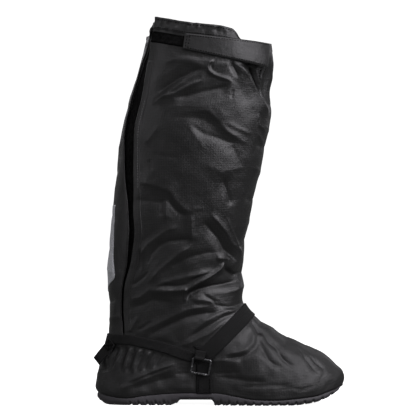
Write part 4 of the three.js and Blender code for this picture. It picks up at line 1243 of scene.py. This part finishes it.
def join_upper(outside, inside, place, shut):
    """Joins shell and lining along the sole, the collar and both edges of the opening."""
    rows, columns = outside.shape[:2]
    few_rows, few_columns = inside.shape[:2]
    first = rows * columns
    faces = grid_faces(rows, columns)
    linings = grid_faces(few_rows, few_columns, first, flip=True)

    def edge(outer, inner, flip):
        made = []
        for k in range(len(outer) - 1):
            near = inner[k // INNER_STEP]
            made.append((outer[k + 1], outer[k], near))
            if k % INNER_STEP == INNER_STEP - 1:
                made.append((outer[k + 1], near, inner[k // INNER_STEP + 1]))
        return [face[::-1] for face in made] if flip else made

    def outer_row(j):
        return [j * columns + i for i in range(columns)]

    def inner_row(j):
        return [first + j * few_columns + i for i in range(few_columns)]

    def outer_column(i):
        return [j * columns + i for j in range(shut, rows)]

    def inner_column(i):
        return [first + j * few_columns + i for j in range(shut // INNER_STEP, few_rows)]

    rims = edge(outer_row(0), inner_row(0), False)
    rims += edge(outer_row(rows - 1), inner_row(few_rows - 1), True)
    rims += edge(outer_column(0), inner_column(0), True)
    rims += edge(outer_column(columns - 1), inner_column(few_columns - 1), False)
    points = np.concatenate([outside.reshape(-1, 3), inside.reshape(-1, 3)])
    places = np.concatenate([place.reshape(-1, 3), place[::INNER_STEP, ::INNER_STEP].reshape(-1, 3)])
    slots = [0] * len(faces) + [1] * len(linings) + [0] * len(rims)
    made = make_mesh("upper_shell", points, faces + linings + rims, [CLOTH_LOOK, LINING_LOOK], slots, places)
    weld(made, WELD)
    keep(made, "cloth", "upper")


# Tapes, hems and panels on the skin
def strip_places(start, end, numbers, across):
    share = border_share(across, STRIP_ENDS)[None, :]
    u = lerp(start[:, None], end[:, None], share)
    return u, np.broadcast_to(numbers[:, None], u.shape)


def sew(name, places, low, thickness, look, slot, node, **shape):
    """A thin piece on the cloth over a grid of places, instead of its solid."""
    keep(sheet_solid(name, *places, low, thickness, look, **shape), slot, node)


def make_closure_tape():
    rows, columns = GRIDS["closure"]
    numbers = np.linspace(opening_row() - TAPE_ROW, TOP_ROW - TAPE_ROW, rows)
    margin = TAPE_MARGIN * turns_per_mm(numbers)
    start, end = opening_line(-1, numbers) - margin, opening_line(1, numbers) + margin
    places = strip_places(start, end, numbers, columns)
    low = -CLOTH - GAP - TAPE_THICKNESS - TAPE_BEHIND
    sew("closure_pile", places, low, TAPE_THICKNESS, PILE_LOOK, "pile", "closure_tape")


def make_opening_hem():
    top = row_at_height(COLLAR_HEIGHT - PATCH_DROP - PATCH_WIDTH, OPENING_TURN)
    rows, columns = GRIDS["hem"]
    numbers = np.linspace(opening_row(HEM_START), top, rows)
    start = opening_line(1, numbers)
    places = strip_places(start, start + HEM_WIDTH * turns_per_mm(numbers), numbers, columns)
    thickness = HEM_THICKNESS - HEM_LIFT
    sew("opening_turned_hem", places, HEM_LIFT, thickness, CLOTH_LOOK, "cloth", "opening_hem",
        rounding=HEM_ROUND)


def opening_front():
    """Turn of the opening's front edge at the collar."""
    return float(opening_line(1, TOP_ROW))


def collar_places(start, end, drop, height, columns, rows):
    """Places between two lines below the collar edge of the outer side."""
    turn = lerp(start, end, border_share(columns, COLLAR_ENDS))
    edge = bare_skin(turn, TOP_ROW)
    z = edge[:, 2][None, :] - drop - lerp(height, 0, border_share(rows, ROW_ENDS))[:, None]
    v = np.full(z.shape, TOP_ROW - 1.0)
    u = np.broadcast_to(turn, z.shape)
    for _ in range(EDGE_TRIES):
        at = bare_skin(u, v)[..., 2]
        rate = (bare_skin(u, v + STEP)[..., 2] - at) / STEP
        v = np.clip(v + np.clip((z - at) / rate, -1, 1), 0, TOP_ROW - STEP)
    return u, v


def make_collar_band():
    places = collar_places(opening_front(), COLLAR_BAND_END, 0, COLLAR_BAND_HEIGHT, *GRIDS["band"])
    sew("collar_double_hem", places, HEM_LIFT, TAPE_THICKNESS, HEM_LOOK, "cloth", "collar_band")


def make_pile_patch():
    places = collar_places(opening_front(), PATCH_END, PATCH_DROP, PATCH_WIDTH, *GRIDS["patch"])
    sew("collar_pile", places, PATCH_LIFT, TAPE_THICKNESS, PILE_LOOK, "pile", "pile_patch",
        rounding=PATCH_ROUND)


def seam_foot(above):
    """The row at a height above the lower end of the front seam."""
    top = bare_skin(FRONT_SEAM_TURN, TOP_ROW)[2]
    return row_at_height(top - SEAM_LENGTH + above, FRONT_SEAM_TURN)


def make_front_seam():
    rows, columns = GRIDS["seam"]
    half = SEAM_WIDTH / 2 * turns_per_mm(TOP_ROW)
    numbers = np.linspace(seam_foot(0), TOP_ROW, rows)
    middle = np.full(rows, FRONT_SEAM_TURN)
    places = strip_places(middle - half, middle + half, numbers, columns)
    sew("front_raised_seam", places, HEM_LIFT, TAPE_THICKNESS, HEM_LOOK, "cloth", "front_seam",
        bulge=SEAM_BULGE)


def make_reflective_panel():
    bottom, top = (row_at_height(REFLECTIVE["up"][end] * COLLAR_HEIGHT) for end in (0, -1))
    rows, columns = GRIDS["panel"]
    numbers = np.linspace(bottom, top, rows)
    up = bare_skin(0, numbers)[:, 2] / COLLAR_HEIGHT
    half = read(REFLECTIVE, "up", up, "half") * REFLECTIVE_WIDTH / 2 * turns_per_mm(numbers)
    places = strip_places(-half, half, numbers, columns)
    sew("reflective_kite", places, PANEL_LIFT, REFLECTIVE_THICKNESS, REFLECTIVE_LOOK, "reflective",
        "reflective_panel", rounding=PANEL_ROUND)


# Straps
def make_strap(name, places, low, look, **shape):
    """Webbing or a sewn strap, which doesn't follow the folds of the cloth."""
    made = sheet_solid(name, *places, low, WEBBING_THICKNESS, look, folded=False, **shape)
    fix_normals(made)
    return made


def collar_strap_route():
    root = bare_skin(FRONT_SEAM_TURN, TOP_ROW)
    end = bare_skin(COLLAR_STRAP_END, TOP_ROW)
    drop = PATCH_DROP - (COLLAR_STRAP_END_WIDTH - PATCH_WIDTH) / 2
    return [
        (root[0] + SEAM_WIDTH / 4, root[2] - COLLAR_STRAP_ROOT_WIDTH / 2),
        (end[0], end[2] - drop - COLLAR_STRAP_END_WIDTH / 2),
    ]


def make_collar_strap():
    widths = [COLLAR_STRAP_ROOT_WIDTH, COLLAR_STRAP_END_WIDTH]
    u, v = band_on_side(collar_strap_route(), widths, OUTER, *GRIDS["collar_strap"])
    low = GAP + TAPE_THICKNESS + GAP
    made = make_strap("collar_tab_strap", (u[::-1], v[::-1]), low, STRAP_LOOK, rounding=STRAP_ROUND)
    keep(made, "cloth", "collar_strap")


def join(name, pieces):
    """One mesh object from several that share their materials."""
    bpy.ops.object.select_all(action="DESELECT")
    for piece in pieces:
        piece.select_set(True)
    bpy.context.view_layer.objects.active = pieces[0]
    bpy.ops.object.join()
    pieces[0].name = name
    return pieces[0]


def band_round(route, width, start, end, steps, across):
    """Places for a band that goes round the shoe from one turn to another, along a line of the side view."""
    route = np.array(sorted(route), float)
    rise = np.gradient(route[:, 1], route[:, 0])
    turn = lerp(start, end, border_share(steps, BAND_ENDS))[:, None]
    off = lerp(width / 2, -width / 2, border_share(across, ROW_ENDS))[None, :]
    u, off = np.broadcast_arrays(turn, off)
    v = np.full(u.shape, TOP_ROW / 3)

    def above(row):
        at = bare_skin(u, row)
        line, slope = (np.interp(at[..., 0], route[:, 0], values) for values in (route[:, 1], rise))
        return at[..., 2] - line - off * np.hypot(1, slope)

    for _ in range(ROUND_TRIES):
        miss = above(v)
        rate = (above(v + STEP) - miss) / STEP
        v = np.clip(v - np.clip(miss / np.maximum(rate, 1), -1, 1), 0, TOP_ROW - STEP)
    return u, v


def turn_at(place, side):
    """The turn round the shoe of a place in the side view."""
    return float(skin_at(place[0], place[1], side)[0])


def make_instep_strap():
    """Webbing from the buckle over the instep, and its end down the inner side to the sole."""
    route = route_mm(INSTEP_ROUTE)
    end = route[-1]
    turns = [turn_at(end, side) for side in (OUTER, INNER)]
    over = band_round(route, WEBBING_WIDTH, *turns, *GRIDS["instep_over"])
    to_sole = [end, (end[0], float(edge_z(end[0])) / 2)]
    down = band_on_side(to_sole, WEBBING_WIDTH, INNER, *GRIDS["instep_down"])
    pieces = [
        make_strap("strap_over", over, GAP, WEBBING_LOOK),
        make_strap("strap_down", down, GAP - UNDER_STRAP, WEBBING_LOOK),
    ]
    keep(join("instep_webbing", pieces), "webbing", "instep_strap")


def make_heel_strap():
    route = route_mm(HEEL_ROUTE)
    start, end = turn_at(route[-1], INNER) - 1, turn_at(route[-1], OUTER)
    places = band_round(route, HEEL_STRAP_WIDTH, start, end, *GRIDS["heel"])
    keep(make_strap("heel_webbing", places, GAP, WEBBING_LOOK), "webbing", "heel_strap")


def make_side_strap():
    x = sole_x(SIDE_STRAP_AT)
    route = [(x, float(edge_z(x)) / 2), (x, BUCKLE_AT[1] * INSTEP_HEIGHT + BUCKLE_HEIGHT / 3)]
    places = band_on_side(route, WEBBING_WIDTH, OUTER, *GRIDS["side"])
    keep(make_strap("side_webbing", places, GAP, WEBBING_LOOK), "webbing", "side_strap")


def turned(points, degrees, axis):
    """Points turned round the first or third axis through the origin."""
    angle = math.radians(degrees)
    c, s = math.cos(angle), math.sin(angle)
    first, second = [k for k in range(3) if k != axis]
    made = np.array(points, float)
    made[..., first] = points[..., first] * c - points[..., second] * s
    made[..., second] = points[..., first] * s + points[..., second] * c
    return made


def frame_on_skin(place):
    """Axes across, up and out of the outer side at a place of the side view, and the place itself."""
    u, v = skin_at(sole_x(place[0]), place[1] * INSTEP_HEIGHT, OUTER)
    normal = bare_normal(u, v)
    up = unit(np.array([0, 0, 1.0]) - normal * normal[2])
    return np.stack([np.cross(up, normal), up, normal]), bare_skin(u, v)


def highest_over(axes, origin, half, out):
    """How far the skin, moved out by a distance, stands above such a frame within a square."""
    steps = np.linspace(-half, half, 5)
    a, b = np.meshgrid(steps, steps)
    spots = origin + a[..., None] * axes[0] + b[..., None] * axes[1]
    u, v = skin_at(spots[..., 0], spots[..., 2], OUTER)
    return float(((skin(u, v, out, folded=False) - origin) @ axes[2]).max())


def tube(name, path, normal, radius, look, sides=14):
    """A closed loop of wire along a flat path, with each section across the path."""
    along = unit(np.roll(path, -1, axis=0) - np.roll(path, 1, axis=0))
    across = unit(np.cross(along, normal))
    turn = np.linspace(0, 2 * np.pi, sides, endpoint=False)
    rings = (path[:, None] + across[:, None] * np.cos(turn)[None, :, None] * radius
             + normal * np.sin(turn)[None, :, None] * radius)
    first = np.arange(len(path))[:, None] * sides
    after = np.roll(first, -1)
    here = np.arange(sides)
    beside = np.roll(here, -1)
    faces = np.stack([after + here, after + beside, first + beside, first + here], -1).reshape(-1, 4)
    return make_mesh(name, rings.reshape(-1, 3), faces, [look])


def rounded_loop(width, height, corner, steps=8, between=4):
    """A rounded rectangle in its own plane: a quarter turn at each corner, then the side after it."""
    reach = np.array([width, height]) / 2 - corner
    centres = [reach * signs for signs in ((1, 1), (-1, 1), (-1, -1), (1, -1))]
    points = []
    for k, centre in enumerate(centres):
        turns = np.linspace(k * np.pi / 2, (k + 1) * np.pi / 2, steps)
        arc = centre + corner * np.column_stack([np.cos(turns), np.sin(turns)])
        ahead = centres[(k + 1) % 4] + arc[-1] - centre
        points += [*arc, *(lerp(arc[-1], ahead, t) for t in np.linspace(0, 1, between + 2)[1:-1])]
    return np.array(points)


def buckle_frame():
    axes, origin = frame_on_skin(BUCKLE_AT)
    lift = highest_over(axes, origin, BUCKLE_WIDTH / 2, GAP + WEBBING_THICKNESS) + GAP
    return axes, origin, lift


def in_buckle(points):
    """Points in the buckle's own plane, as places on the shoe."""
    axes, origin, lift = buckle_frame()
    return origin + (turned(points, -BUCKLE_TURN, 2) + np.array([0, 0, lift])) @ axes


def make_buckle():
    """A rounded loop of wire where the solid one lies."""
    rod = BUCKLE_ROD / 2
    flat = rounded_loop(BUCKLE_WIDTH - BUCKLE_ROD, BUCKLE_HEIGHT - BUCKLE_ROD, BUCKLE_CORNER - rod)
    path = in_buckle(np.column_stack([flat, np.full(len(flat), rod)]))
    made = tube("steel_loop", path, buckle_frame()[0][2], rod, STEEL_LOOK)
    keep(made, "steel", "buckle")


def wrap(line, wide, thick):
    """Points, faces and cloth places of webbing bent along a line in the plane across its width."""
    line = np.array(line, float)
    step = np.gradient(line, axis=0)
    out = unit(np.column_stack([-step[:, 1], step[:, 0]]))
    share = border_share(12, WRAP_ENDS)
    shape = (len(line), len(share))
    x = np.broadcast_to(lerp(-wide / 2, wide / 2, share), shape)
    edge = lerp(WRAP_EDGE_SHARE, 1, edge_round(np.minimum(share, 1 - share) * wide, EDGE_ROUND))
    top = line[:, None] + out[:, None] * (thick * edge)[None, :, None]
    layers = (top, np.broadcast_to(line[:, None], top.shape))
    points = [np.concatenate([x[..., None], layer], -1).reshape(-1, 3) for layer in layers]
    length = np.broadcast_to(lengths_along(line)[:, None], shape)
    place = np.stack([x, length, np.zeros(shape)], -1).reshape(-1, 3)
    return np.concatenate(points), sheet_faces(*shape), np.concatenate([place, place])


def half_turn(centre, radius, start, end, steps=14):
    turns = np.radians(np.linspace(start, end, steps))
    return [(centre[0] + radius * math.cos(t), centre[1] + radius * math.sin(t)) for t in turns]


def make_buckle_wrap():
    """The end of the heel strap, bent over the back part of the buckle's top."""
    rod = BUCKLE_ROD / 2
    reach = BUCKLE_HEIGHT / 2 - rod
    line = half_turn((reach, rod), rod + GAP, *WRAP_TURNS)
    last, tip = np.array(line[-1]), np.array([reach + WRAP_REACH, -WRAP_DROP])
    line += [tuple(lerp(last, tip, t)) for t in (0.25, 0.5, 0.75, 1.0)]
    points, faces, place = wrap(line, HEEL_STRAP_WIDTH, WEBBING_THICKNESS * WRAP_THICKNESS)
    points[:, 0] -= BUCKLE_WIDTH / 2 - HEEL_STRAP_WIDTH / 2 - BUCKLE_ROD
    made = make_mesh("buckle_webbing", in_buckle(points), faces, [WEBBING_LOOK], place=place)
    fix_normals(made)
    keep(made, "webbing")


def in_tab(points):
    """Points in the heel tab's own plane, as places on the shoe."""
    axes, origin = frame_on_skin(TAB_AT)
    return origin + turned(turned(points, -TAB_LEAN, 2), -TAB_FLARE, 0) @ axes


def make_heel_tab():
    """A strip folded at its free end, its two layers sewn together at the shoe."""
    layer = TAB_THICKNESS * TAB_LAYER
    fold = TAB_THICKNESS / 2
    centre = (-TAB_LENGTH + fold, GAP + fold)
    top = GAP + TAB_THICKNESS - layer
    line = [(-TAB_ROOT, top)]
    back = np.linspace(-3 * TAB_ROOT, centre[0], 14)
    line += [(y, top + TAB_WAVE * math.sin(y * TAB_WAVE_TURN)) for y in back]
    line += half_turn(centre, fold - layer, 90, 270)[1:]
    line += [(y, GAP + layer) for y in np.linspace(centre[0], -TAB_ROOT, 12)[1:]]
    points, faces, place = wrap(line, TAB_WIDTH, layer)
    points[:, 0] -= TAB_WIDTH / 2
    made = make_mesh("pull_tab", in_tab(points), faces, [WEBBING_LOOK], place=place)
    fix_normals(made)
    keep(made, "webbing", "heel_tab")


# Sole
def sole_outline(inset, x):
    """Sideways places of the sole's two edges at places along it, at a distance inside the edge."""
    made = []
    for low, high in ((0.0, 0.5), (1.0, 0.5)):
        u = np.linspace(low, high, OUTLINE_SAMPLES)
        section = section_at(np.zeros(len(u)))
        along, y = plan_point(u, section)
        flat = bare_normal(u, np.zeros(len(u)))
        flat[:, 2] = 0
        flat = unit(flat)
        px = lerp(section["back"], section["front"], along) - flat[:, 0] * inset
        made.append(np.interp(x, px, y - flat[:, 1] * inset))
    return made


def sole_stations():
    """Places along the sole, closer together at its round ends."""
    x = np.linspace(sole_x(0) + STATION_END, sole_x(1) - STATION_END, STATION_SAMPLES)
    y = sole_outline(0, x)[0]
    length = lengths_along(np.column_stack([x, y]))
    mixed = lerp(length / length[-1], (x - x[0]) / (x[-1] - x[0]), EVEN_SHARE)
    return np.interp(np.linspace(0, 1, SOLE_ROWS), mixed, x)


def lug_share(x, y):
    """1 on tread bars and the heel block, 0 in the grooves between them."""
    half = BALL_WIDTH / 2 + LUG_WIDTH
    s = x + LUG_BEND * np.abs(y) / half
    share = smooth((HEEL_BLOCK_FRONT - s) / LUG_DRAFT + 0.5)
    starts = list(np.arange(HEEL_BLOCK_FRONT + LUG_PITCH - LUG_WIDTH, sole_x(ARCH["start"]), LUG_PITCH))
    starts += list(np.arange(sole_x(ARCH["end"] + ARCH["ramp"]), sole_x(1), LUG_PITCH))
    for start in starts:
        off = np.abs(s - start - LUG_WIDTH / 2)
        bar = smooth((LUG_WIDTH / 2 - off) / LUG_DRAFT + 0.5)
        notch = smooth((NOTCH_WIDTH / 2 - off) / LUG_DRAFT + 0.5) * NOTCH_DEPTH / TREAD_DEPTH
        share = np.maximum(share, bar - notch)
    teeth = smooth(np.sin(s * 2 * np.pi * TEETH_PER_BAR / LUG_PITCH) * TOOTH_SHARP - TOOTH_NARROW)
    teeth *= TOOTH_DEPTH * smooth((np.abs(y) - TEETH_FROM) / TEETH_FADE)
    block = (s < HEEL_BLOCK_FRONT - BLOCK_MARGIN) & (s > sole_x(BLOCK_BACK))
    return np.clip(share - np.where(block, teeth, 0), 0, 1)


def tread_z(x, bars):
    """Height of the underside at places along the sole, with a share of tread bar."""
    return lerp(under_z(x), ground_z(x), bars * (1 - arch_share(x)))


def sole_ring(x, inset, height_at):
    """Points round the sole at a distance inside its edge, with a height for each place along a side."""
    at = squeeze(x, inset)
    sides = [np.column_stack([at, y, height_at(y)]) for y in sole_outline(inset, at)]
    return np.concatenate([sides[0], sides[1][::-1]])


def make_outsole():
    """Sole with a smooth band, a toothed lower edge, bent tread bars and a rim round its inside."""
    x = sole_stations()
    rim = edge_z(x) - GAP
    floor = under_z(x) + np.minimum(SHEET, (rim - under_z(x)) / 2)
    rings = [sole_ring(x, inset, lambda y: lerp(tread_z(x, lug_share(x, y)), rim, up))
             for inset, up in zip(SOLE_WALL["inset"], SOLE_WALL["up"])]
    inside = [(RIM_WIDTH - RIM_ROUND[0], rim), (RIM_WIDTH, rim - RIM_ROUND[1]), (RIM_WIDTH, floor)]
    rings += [sole_ring(x, inset, lambda y: height) for inset, height in inside]
    around = len(rings[0])
    points = [np.concatenate(rings)]
    faces = grid_faces(len(rings), around, closed=True)
    for ring, columns, up in ((0, TREAD_COLUMNS, False), (len(rings) - 1, FLOOR_COLUMNS, True)):
        first = sum(map(len, points))
        inner, more = fill_ring(rings[ring], ring * around, first, columns, up)
        if not up:
            inner[..., 2] = tread_z(x, lug_share(inner[..., 0], inner[..., 1]))
        points.append(inner.reshape(-1, 3))
        faces += more
    made = make_mesh("rubber_sole", np.concatenate(points), faces, [RUBBER_LOOK])
    weld(made, SOLE_WELD)
    fix_normals(made)
    keep(made, "rubber", "outsole")


def fill_ring(ring, start, first, across, up):
    """Points of columns between the two halves of a ring, and the faces that fill it."""
    rows = len(ring) // 2
    outer, inner = ring[:rows], ring[rows:][::-1]
    share = (np.arange(1, across) / across)[:, None, None]
    middle = lerp(outer[None], inner[None], share)
    line = np.arange(rows)
    between = [first + k * rows + line for k in range(across - 1)]
    columns = [start + line, *between, start + 2 * rows - 1 - line]
    faces = []
    for left, right in zip(columns, columns[1:]):
        quads = np.stack([left[:-1], left[1:], right[1:], right[:-1]], 1)
        faces += (quads if up else quads[:, ::-1]).tolist()
    return middle, faces


def squeeze(x, inset):
    """Places along the sole drawn in at both ends by a distance."""
    middle = (x[0] + x[-1]) / 2
    half = (x[-1] - x[0]) / 2
    return middle + (x - middle) * (half - inset) / half


# Stitches
def stitch_line(path, normals, pitch=STITCH_PITCH, length=STITCH_LENGTH):
    """Centres, directions and outward directions of the stitches along a path."""
    steps = lengths_along(path)
    count = max(1, int(steps[-1] / pitch))
    at = (np.arange(count) + 0.5) * steps[-1] / count

    def between(places, rows):
        return np.stack([np.interp(places, steps, rows[:, k]) for k in range(3)], -1)

    ahead = between(np.minimum(at + 0.5, steps[-1]), path)
    behind = between(np.maximum(at - 0.5, 0), path)
    return between(at, path), unit(ahead - behind), unit(between(at, normals)), np.full(count, length)


def make_stitches(name, lines, look):
    """All stitches of some lines as one mesh of small rounded bars."""
    centre, along, out, length = (np.concatenate(part) for part in zip(*lines))
    across = np.cross(along, out)
    turn = np.linspace(0, 2 * np.pi, BAR_SIDES, endpoint=False)
    circle = across[:, None] * np.cos(turn)[None, :, None] + out[:, None] * np.sin(turn)[None, :, None]
    rings = []
    for at, wide, sink in BAR_SHAPE:
        middle = centre + along * (length * at)[:, None] + out * STITCH_RADIUS * sink
        rings.append(middle[:, None] + circle * STITCH_RADIUS * wide)
    points = np.stack(rings, 1)
    each = len(BAR_SHAPE) * BAR_SIDES
    one = grid_faces(len(BAR_SHAPE), BAR_SIDES, closed=True)
    one += [tuple(range(BAR_SIDES))[::-1], tuple(range(each - BAR_SIDES, each))]
    faces = [tuple(np.array(face) + k * each) for k in range(len(centre)) for face in one]
    made = make_mesh(name, points.reshape(-1, 3), faces, [look])
    fix_normals(made)
    keep(made, "cloth")


def on_cloth(u, v, out, folded=True):
    """Stitches along a line of places on the skin."""
    return stitch_line(skin(u, v, out, folded), bare_normal(u, v))


def make_opening_stitches():
    low, high = (row_at_height(height, OPENING_TURN) for height in HEM_STITCHES)
    numbers = np.linspace(low, high, 400)
    turn = opening_line(1, numbers) + HEM_STITCH_INSET * turns_per_mm(numbers)
    make_stitches("opening_stitches", [on_cloth(turn, numbers, HEM_THICKNESS)], THREAD_LOOK)


def make_seam_stitches():
    hem = GAP + TAPE_THICKNESS
    start = opening_front() + STITCHES_AFTER
    rows = [(drop, BAND_STITCH_END, 120, hem - BAND_STITCH_SINK) for drop in BAND_STITCH_DROPS]
    patch = (PATCH_DROP + PATCH_STITCH_INSET, PATCH_DROP + PATCH_WIDTH - PATCH_STITCH_INSET)
    rows += [(drop, PATCH_STITCH_END, 80, hem) for drop in patch]
    lines = []
    for drop, end, columns, out in rows:
        u, v = collar_places(start, end, drop, 0, columns, 3)
        lines.append(on_cloth(u[0], v[0], out))
    seam = np.linspace(seam_foot(SEAM_STITCH_START), TOP_ROW - SEAM_STITCH_END, 80)
    for side in (-1, 1):
        turn = FRONT_SEAM_TURN + side * SEAM_STITCH_OFF * turns_per_mm(TOP_ROW)
        lines.append(on_cloth(np.full(len(seam), turn), seam, SEAM_STITCH_OUT))
    make_stitches("seam_stitches", lines, DARK_THREAD_LOOK)


def make_strap_stitches():
    """Two lines along the collar strap and two across its end."""
    out = GAP + TAPE_THICKNESS + GAP + WEBBING_THICKNESS
    widths = [width - 2 * STRAP_STITCH_INSET for width in (COLLAR_STRAP_ROOT_WIDTH, COLLAR_STRAP_END_WIDTH)]
    u, v = band_on_side(collar_strap_route(), widths, OUTER, 160, 3)
    lines = [on_cloth(u[4:-6, column], v[4:-6, column], out, folded=False) for column in (0, -1)]
    u, v = band_on_side(collar_strap_route(), widths, OUTER, 160, 30)
    lines += [on_cloth(u[row], v[row], out, folded=False) for row in (-4, -9)]
    make_stitches("collar_strap_stitches", lines, DARK_THREAD_LOOK)


def make_webbing_stitches():
    """A box with a cross at the tab's root, a line near its fold, and two lines along the side strap."""
    left, right = -TAB_WIDTH + TAB_STITCH_INSET, -TAB_STITCH_INSET
    top, low = -TAB_STITCH_INSET, -TAB_STITCH_INSET - TAB_BOX_LENGTH
    fold = -TAB_LENGTH + TAB_FOLD_LINE
    corners = [(left, top), (right, top), (right, low), (left, low)]
    pairs = list(zip(corners, corners[1:] + corners[:1]))
    pairs += [(corners[0], corners[2]), (corners[1], corners[3]), ((left, fold), (right, fold))]
    lines = []
    for start, end in pairs:
        share = np.linspace(0, 1, 12)[:, None]
        flat = lerp(np.array([*start, TAB_STITCH_OUT]), np.array([*end, TAB_STITCH_OUT]), share)
        path = in_tab(flat)
        lines.append(stitch_line(path, unit(in_tab(flat + np.array([0, 0, 1.0])) - path), *TAB_STITCH))
    x = sole_x(SIDE_STRAP_AT)
    z = np.linspace(float(edge_z(x)) + 2, SIDE_STITCH_TOP, 30)
    for side in (-1, 1):
        at = x + side * (WEBBING_WIDTH / 2 - SIDE_STITCH_INSET)
        lines.append(on_cloth(*skin_at(at, z, OUTER), GAP + WEBBING_THICKNESS, folded=False))
    make_stitches("webbing_stitches", lines, DARK_THREAD_LOOK)


# Camera, light and stage
def make_camera():
    width = PHOTO_PIXELS * SHOWN_PIXEL
    centre_x = (PHOTO_PIXELS / 2 - PIXEL_OF_X0) * SHOWN_PIXEL
    centre_z = (PIXEL_OF_Z0 - PHOTO_PIXELS / 2) * SHOWN_PIXEL
    data = bpy.data.cameras.new("camera")
    data.sensor_width = SENSOR
    data.lens = SENSOR * CAMERA_AWAY / (width * MM)
    data.clip_end = 50
    camera = bpy.data.objects.new("camera", data)
    camera.location = (centre_x * MM, -CAMERA_AWAY, centre_z * MM)
    camera.rotation_euler = (math.pi / 2, 0, 0)
    bpy.context.scene.collection.objects.link(camera)
    bpy.context.scene.camera = camera


def make_light(name, place, aim, size, power):
    data = bpy.data.lights.new(name, "AREA")
    data.shape = "RECTANGLE"
    data.size, data.size_y = size
    data.energy = power
    data.color = LIGHT_COLOUR
    light = bpy.data.objects.new(name, data)
    light.location = place
    light.rotation_euler = (Vector(aim) - Vector(place)).to_track_quat("-Z", "Y").to_euler()
    bpy.context.scene.collection.objects.link(light)


def make_stage():
    """A pale round floor that bends up into a wall all round."""
    turns = np.linspace(0, np.pi / 2, COVE_STEPS)
    reach = np.concatenate([[0.01], FLOOR_REACH + COVE_RADIUS * np.sin(turns), [FLOOR_REACH + COVE_RADIUS]])
    height = np.concatenate([[0], COVE_RADIUS * (1 - np.cos(turns)), [WALL_HEIGHT]])
    around = np.linspace(0, 2 * np.pi, WALL_SIDES, endpoint=False)
    rings = np.stack([reach[:, None] * np.cos(around), reach[:, None] * np.sin(around),
                      np.broadcast_to(height[:, None], (len(reach), WALL_SIDES))], -1)
    faces = grid_faces(len(reach), WALL_SIDES, closed=True) + [tuple(range(WALL_SIDES))]
    floor = make_mesh("floor", rings.reshape(-1, 3) / MM, faces, [stage_material("pale_floor", 0.8)])
    floor.visible_glossy = False
    floor.visible_diffuse = False
    floor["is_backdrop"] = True


def make_lights():
    world = bpy.data.worlds.new("studio")
    world.use_nodes = True
    background = world.node_tree.nodes["Background"]
    background.inputs[0].default_value = (1, 1, 1, 1)
    background.inputs[1].default_value = WORLD_LIGHT
    bpy.context.scene.world = world
    for row in LIGHTS:
        make_light(*row)


make_camera()
make_stage()
make_lights()
bpy.context.scene.view_settings.view_transform = "Standard"

make_upper()
make_closure_tape()
make_opening_hem()
make_collar_band()
make_pile_patch()
make_collar_strap()
make_front_seam()
make_reflective_panel()
make_instep_strap()
make_heel_strap()
make_side_strap()
make_buckle()
make_buckle_wrap()
make_heel_tab()
make_outsole()
make_opening_stitches()
make_seam_stitches()
make_strap_stitches()
make_webbing_stitches()

boxes = {"cad": cad_box, "visual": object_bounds()}
{name: [[float(value) for value in corner] for corner in box] for name, box in boxes.items()}
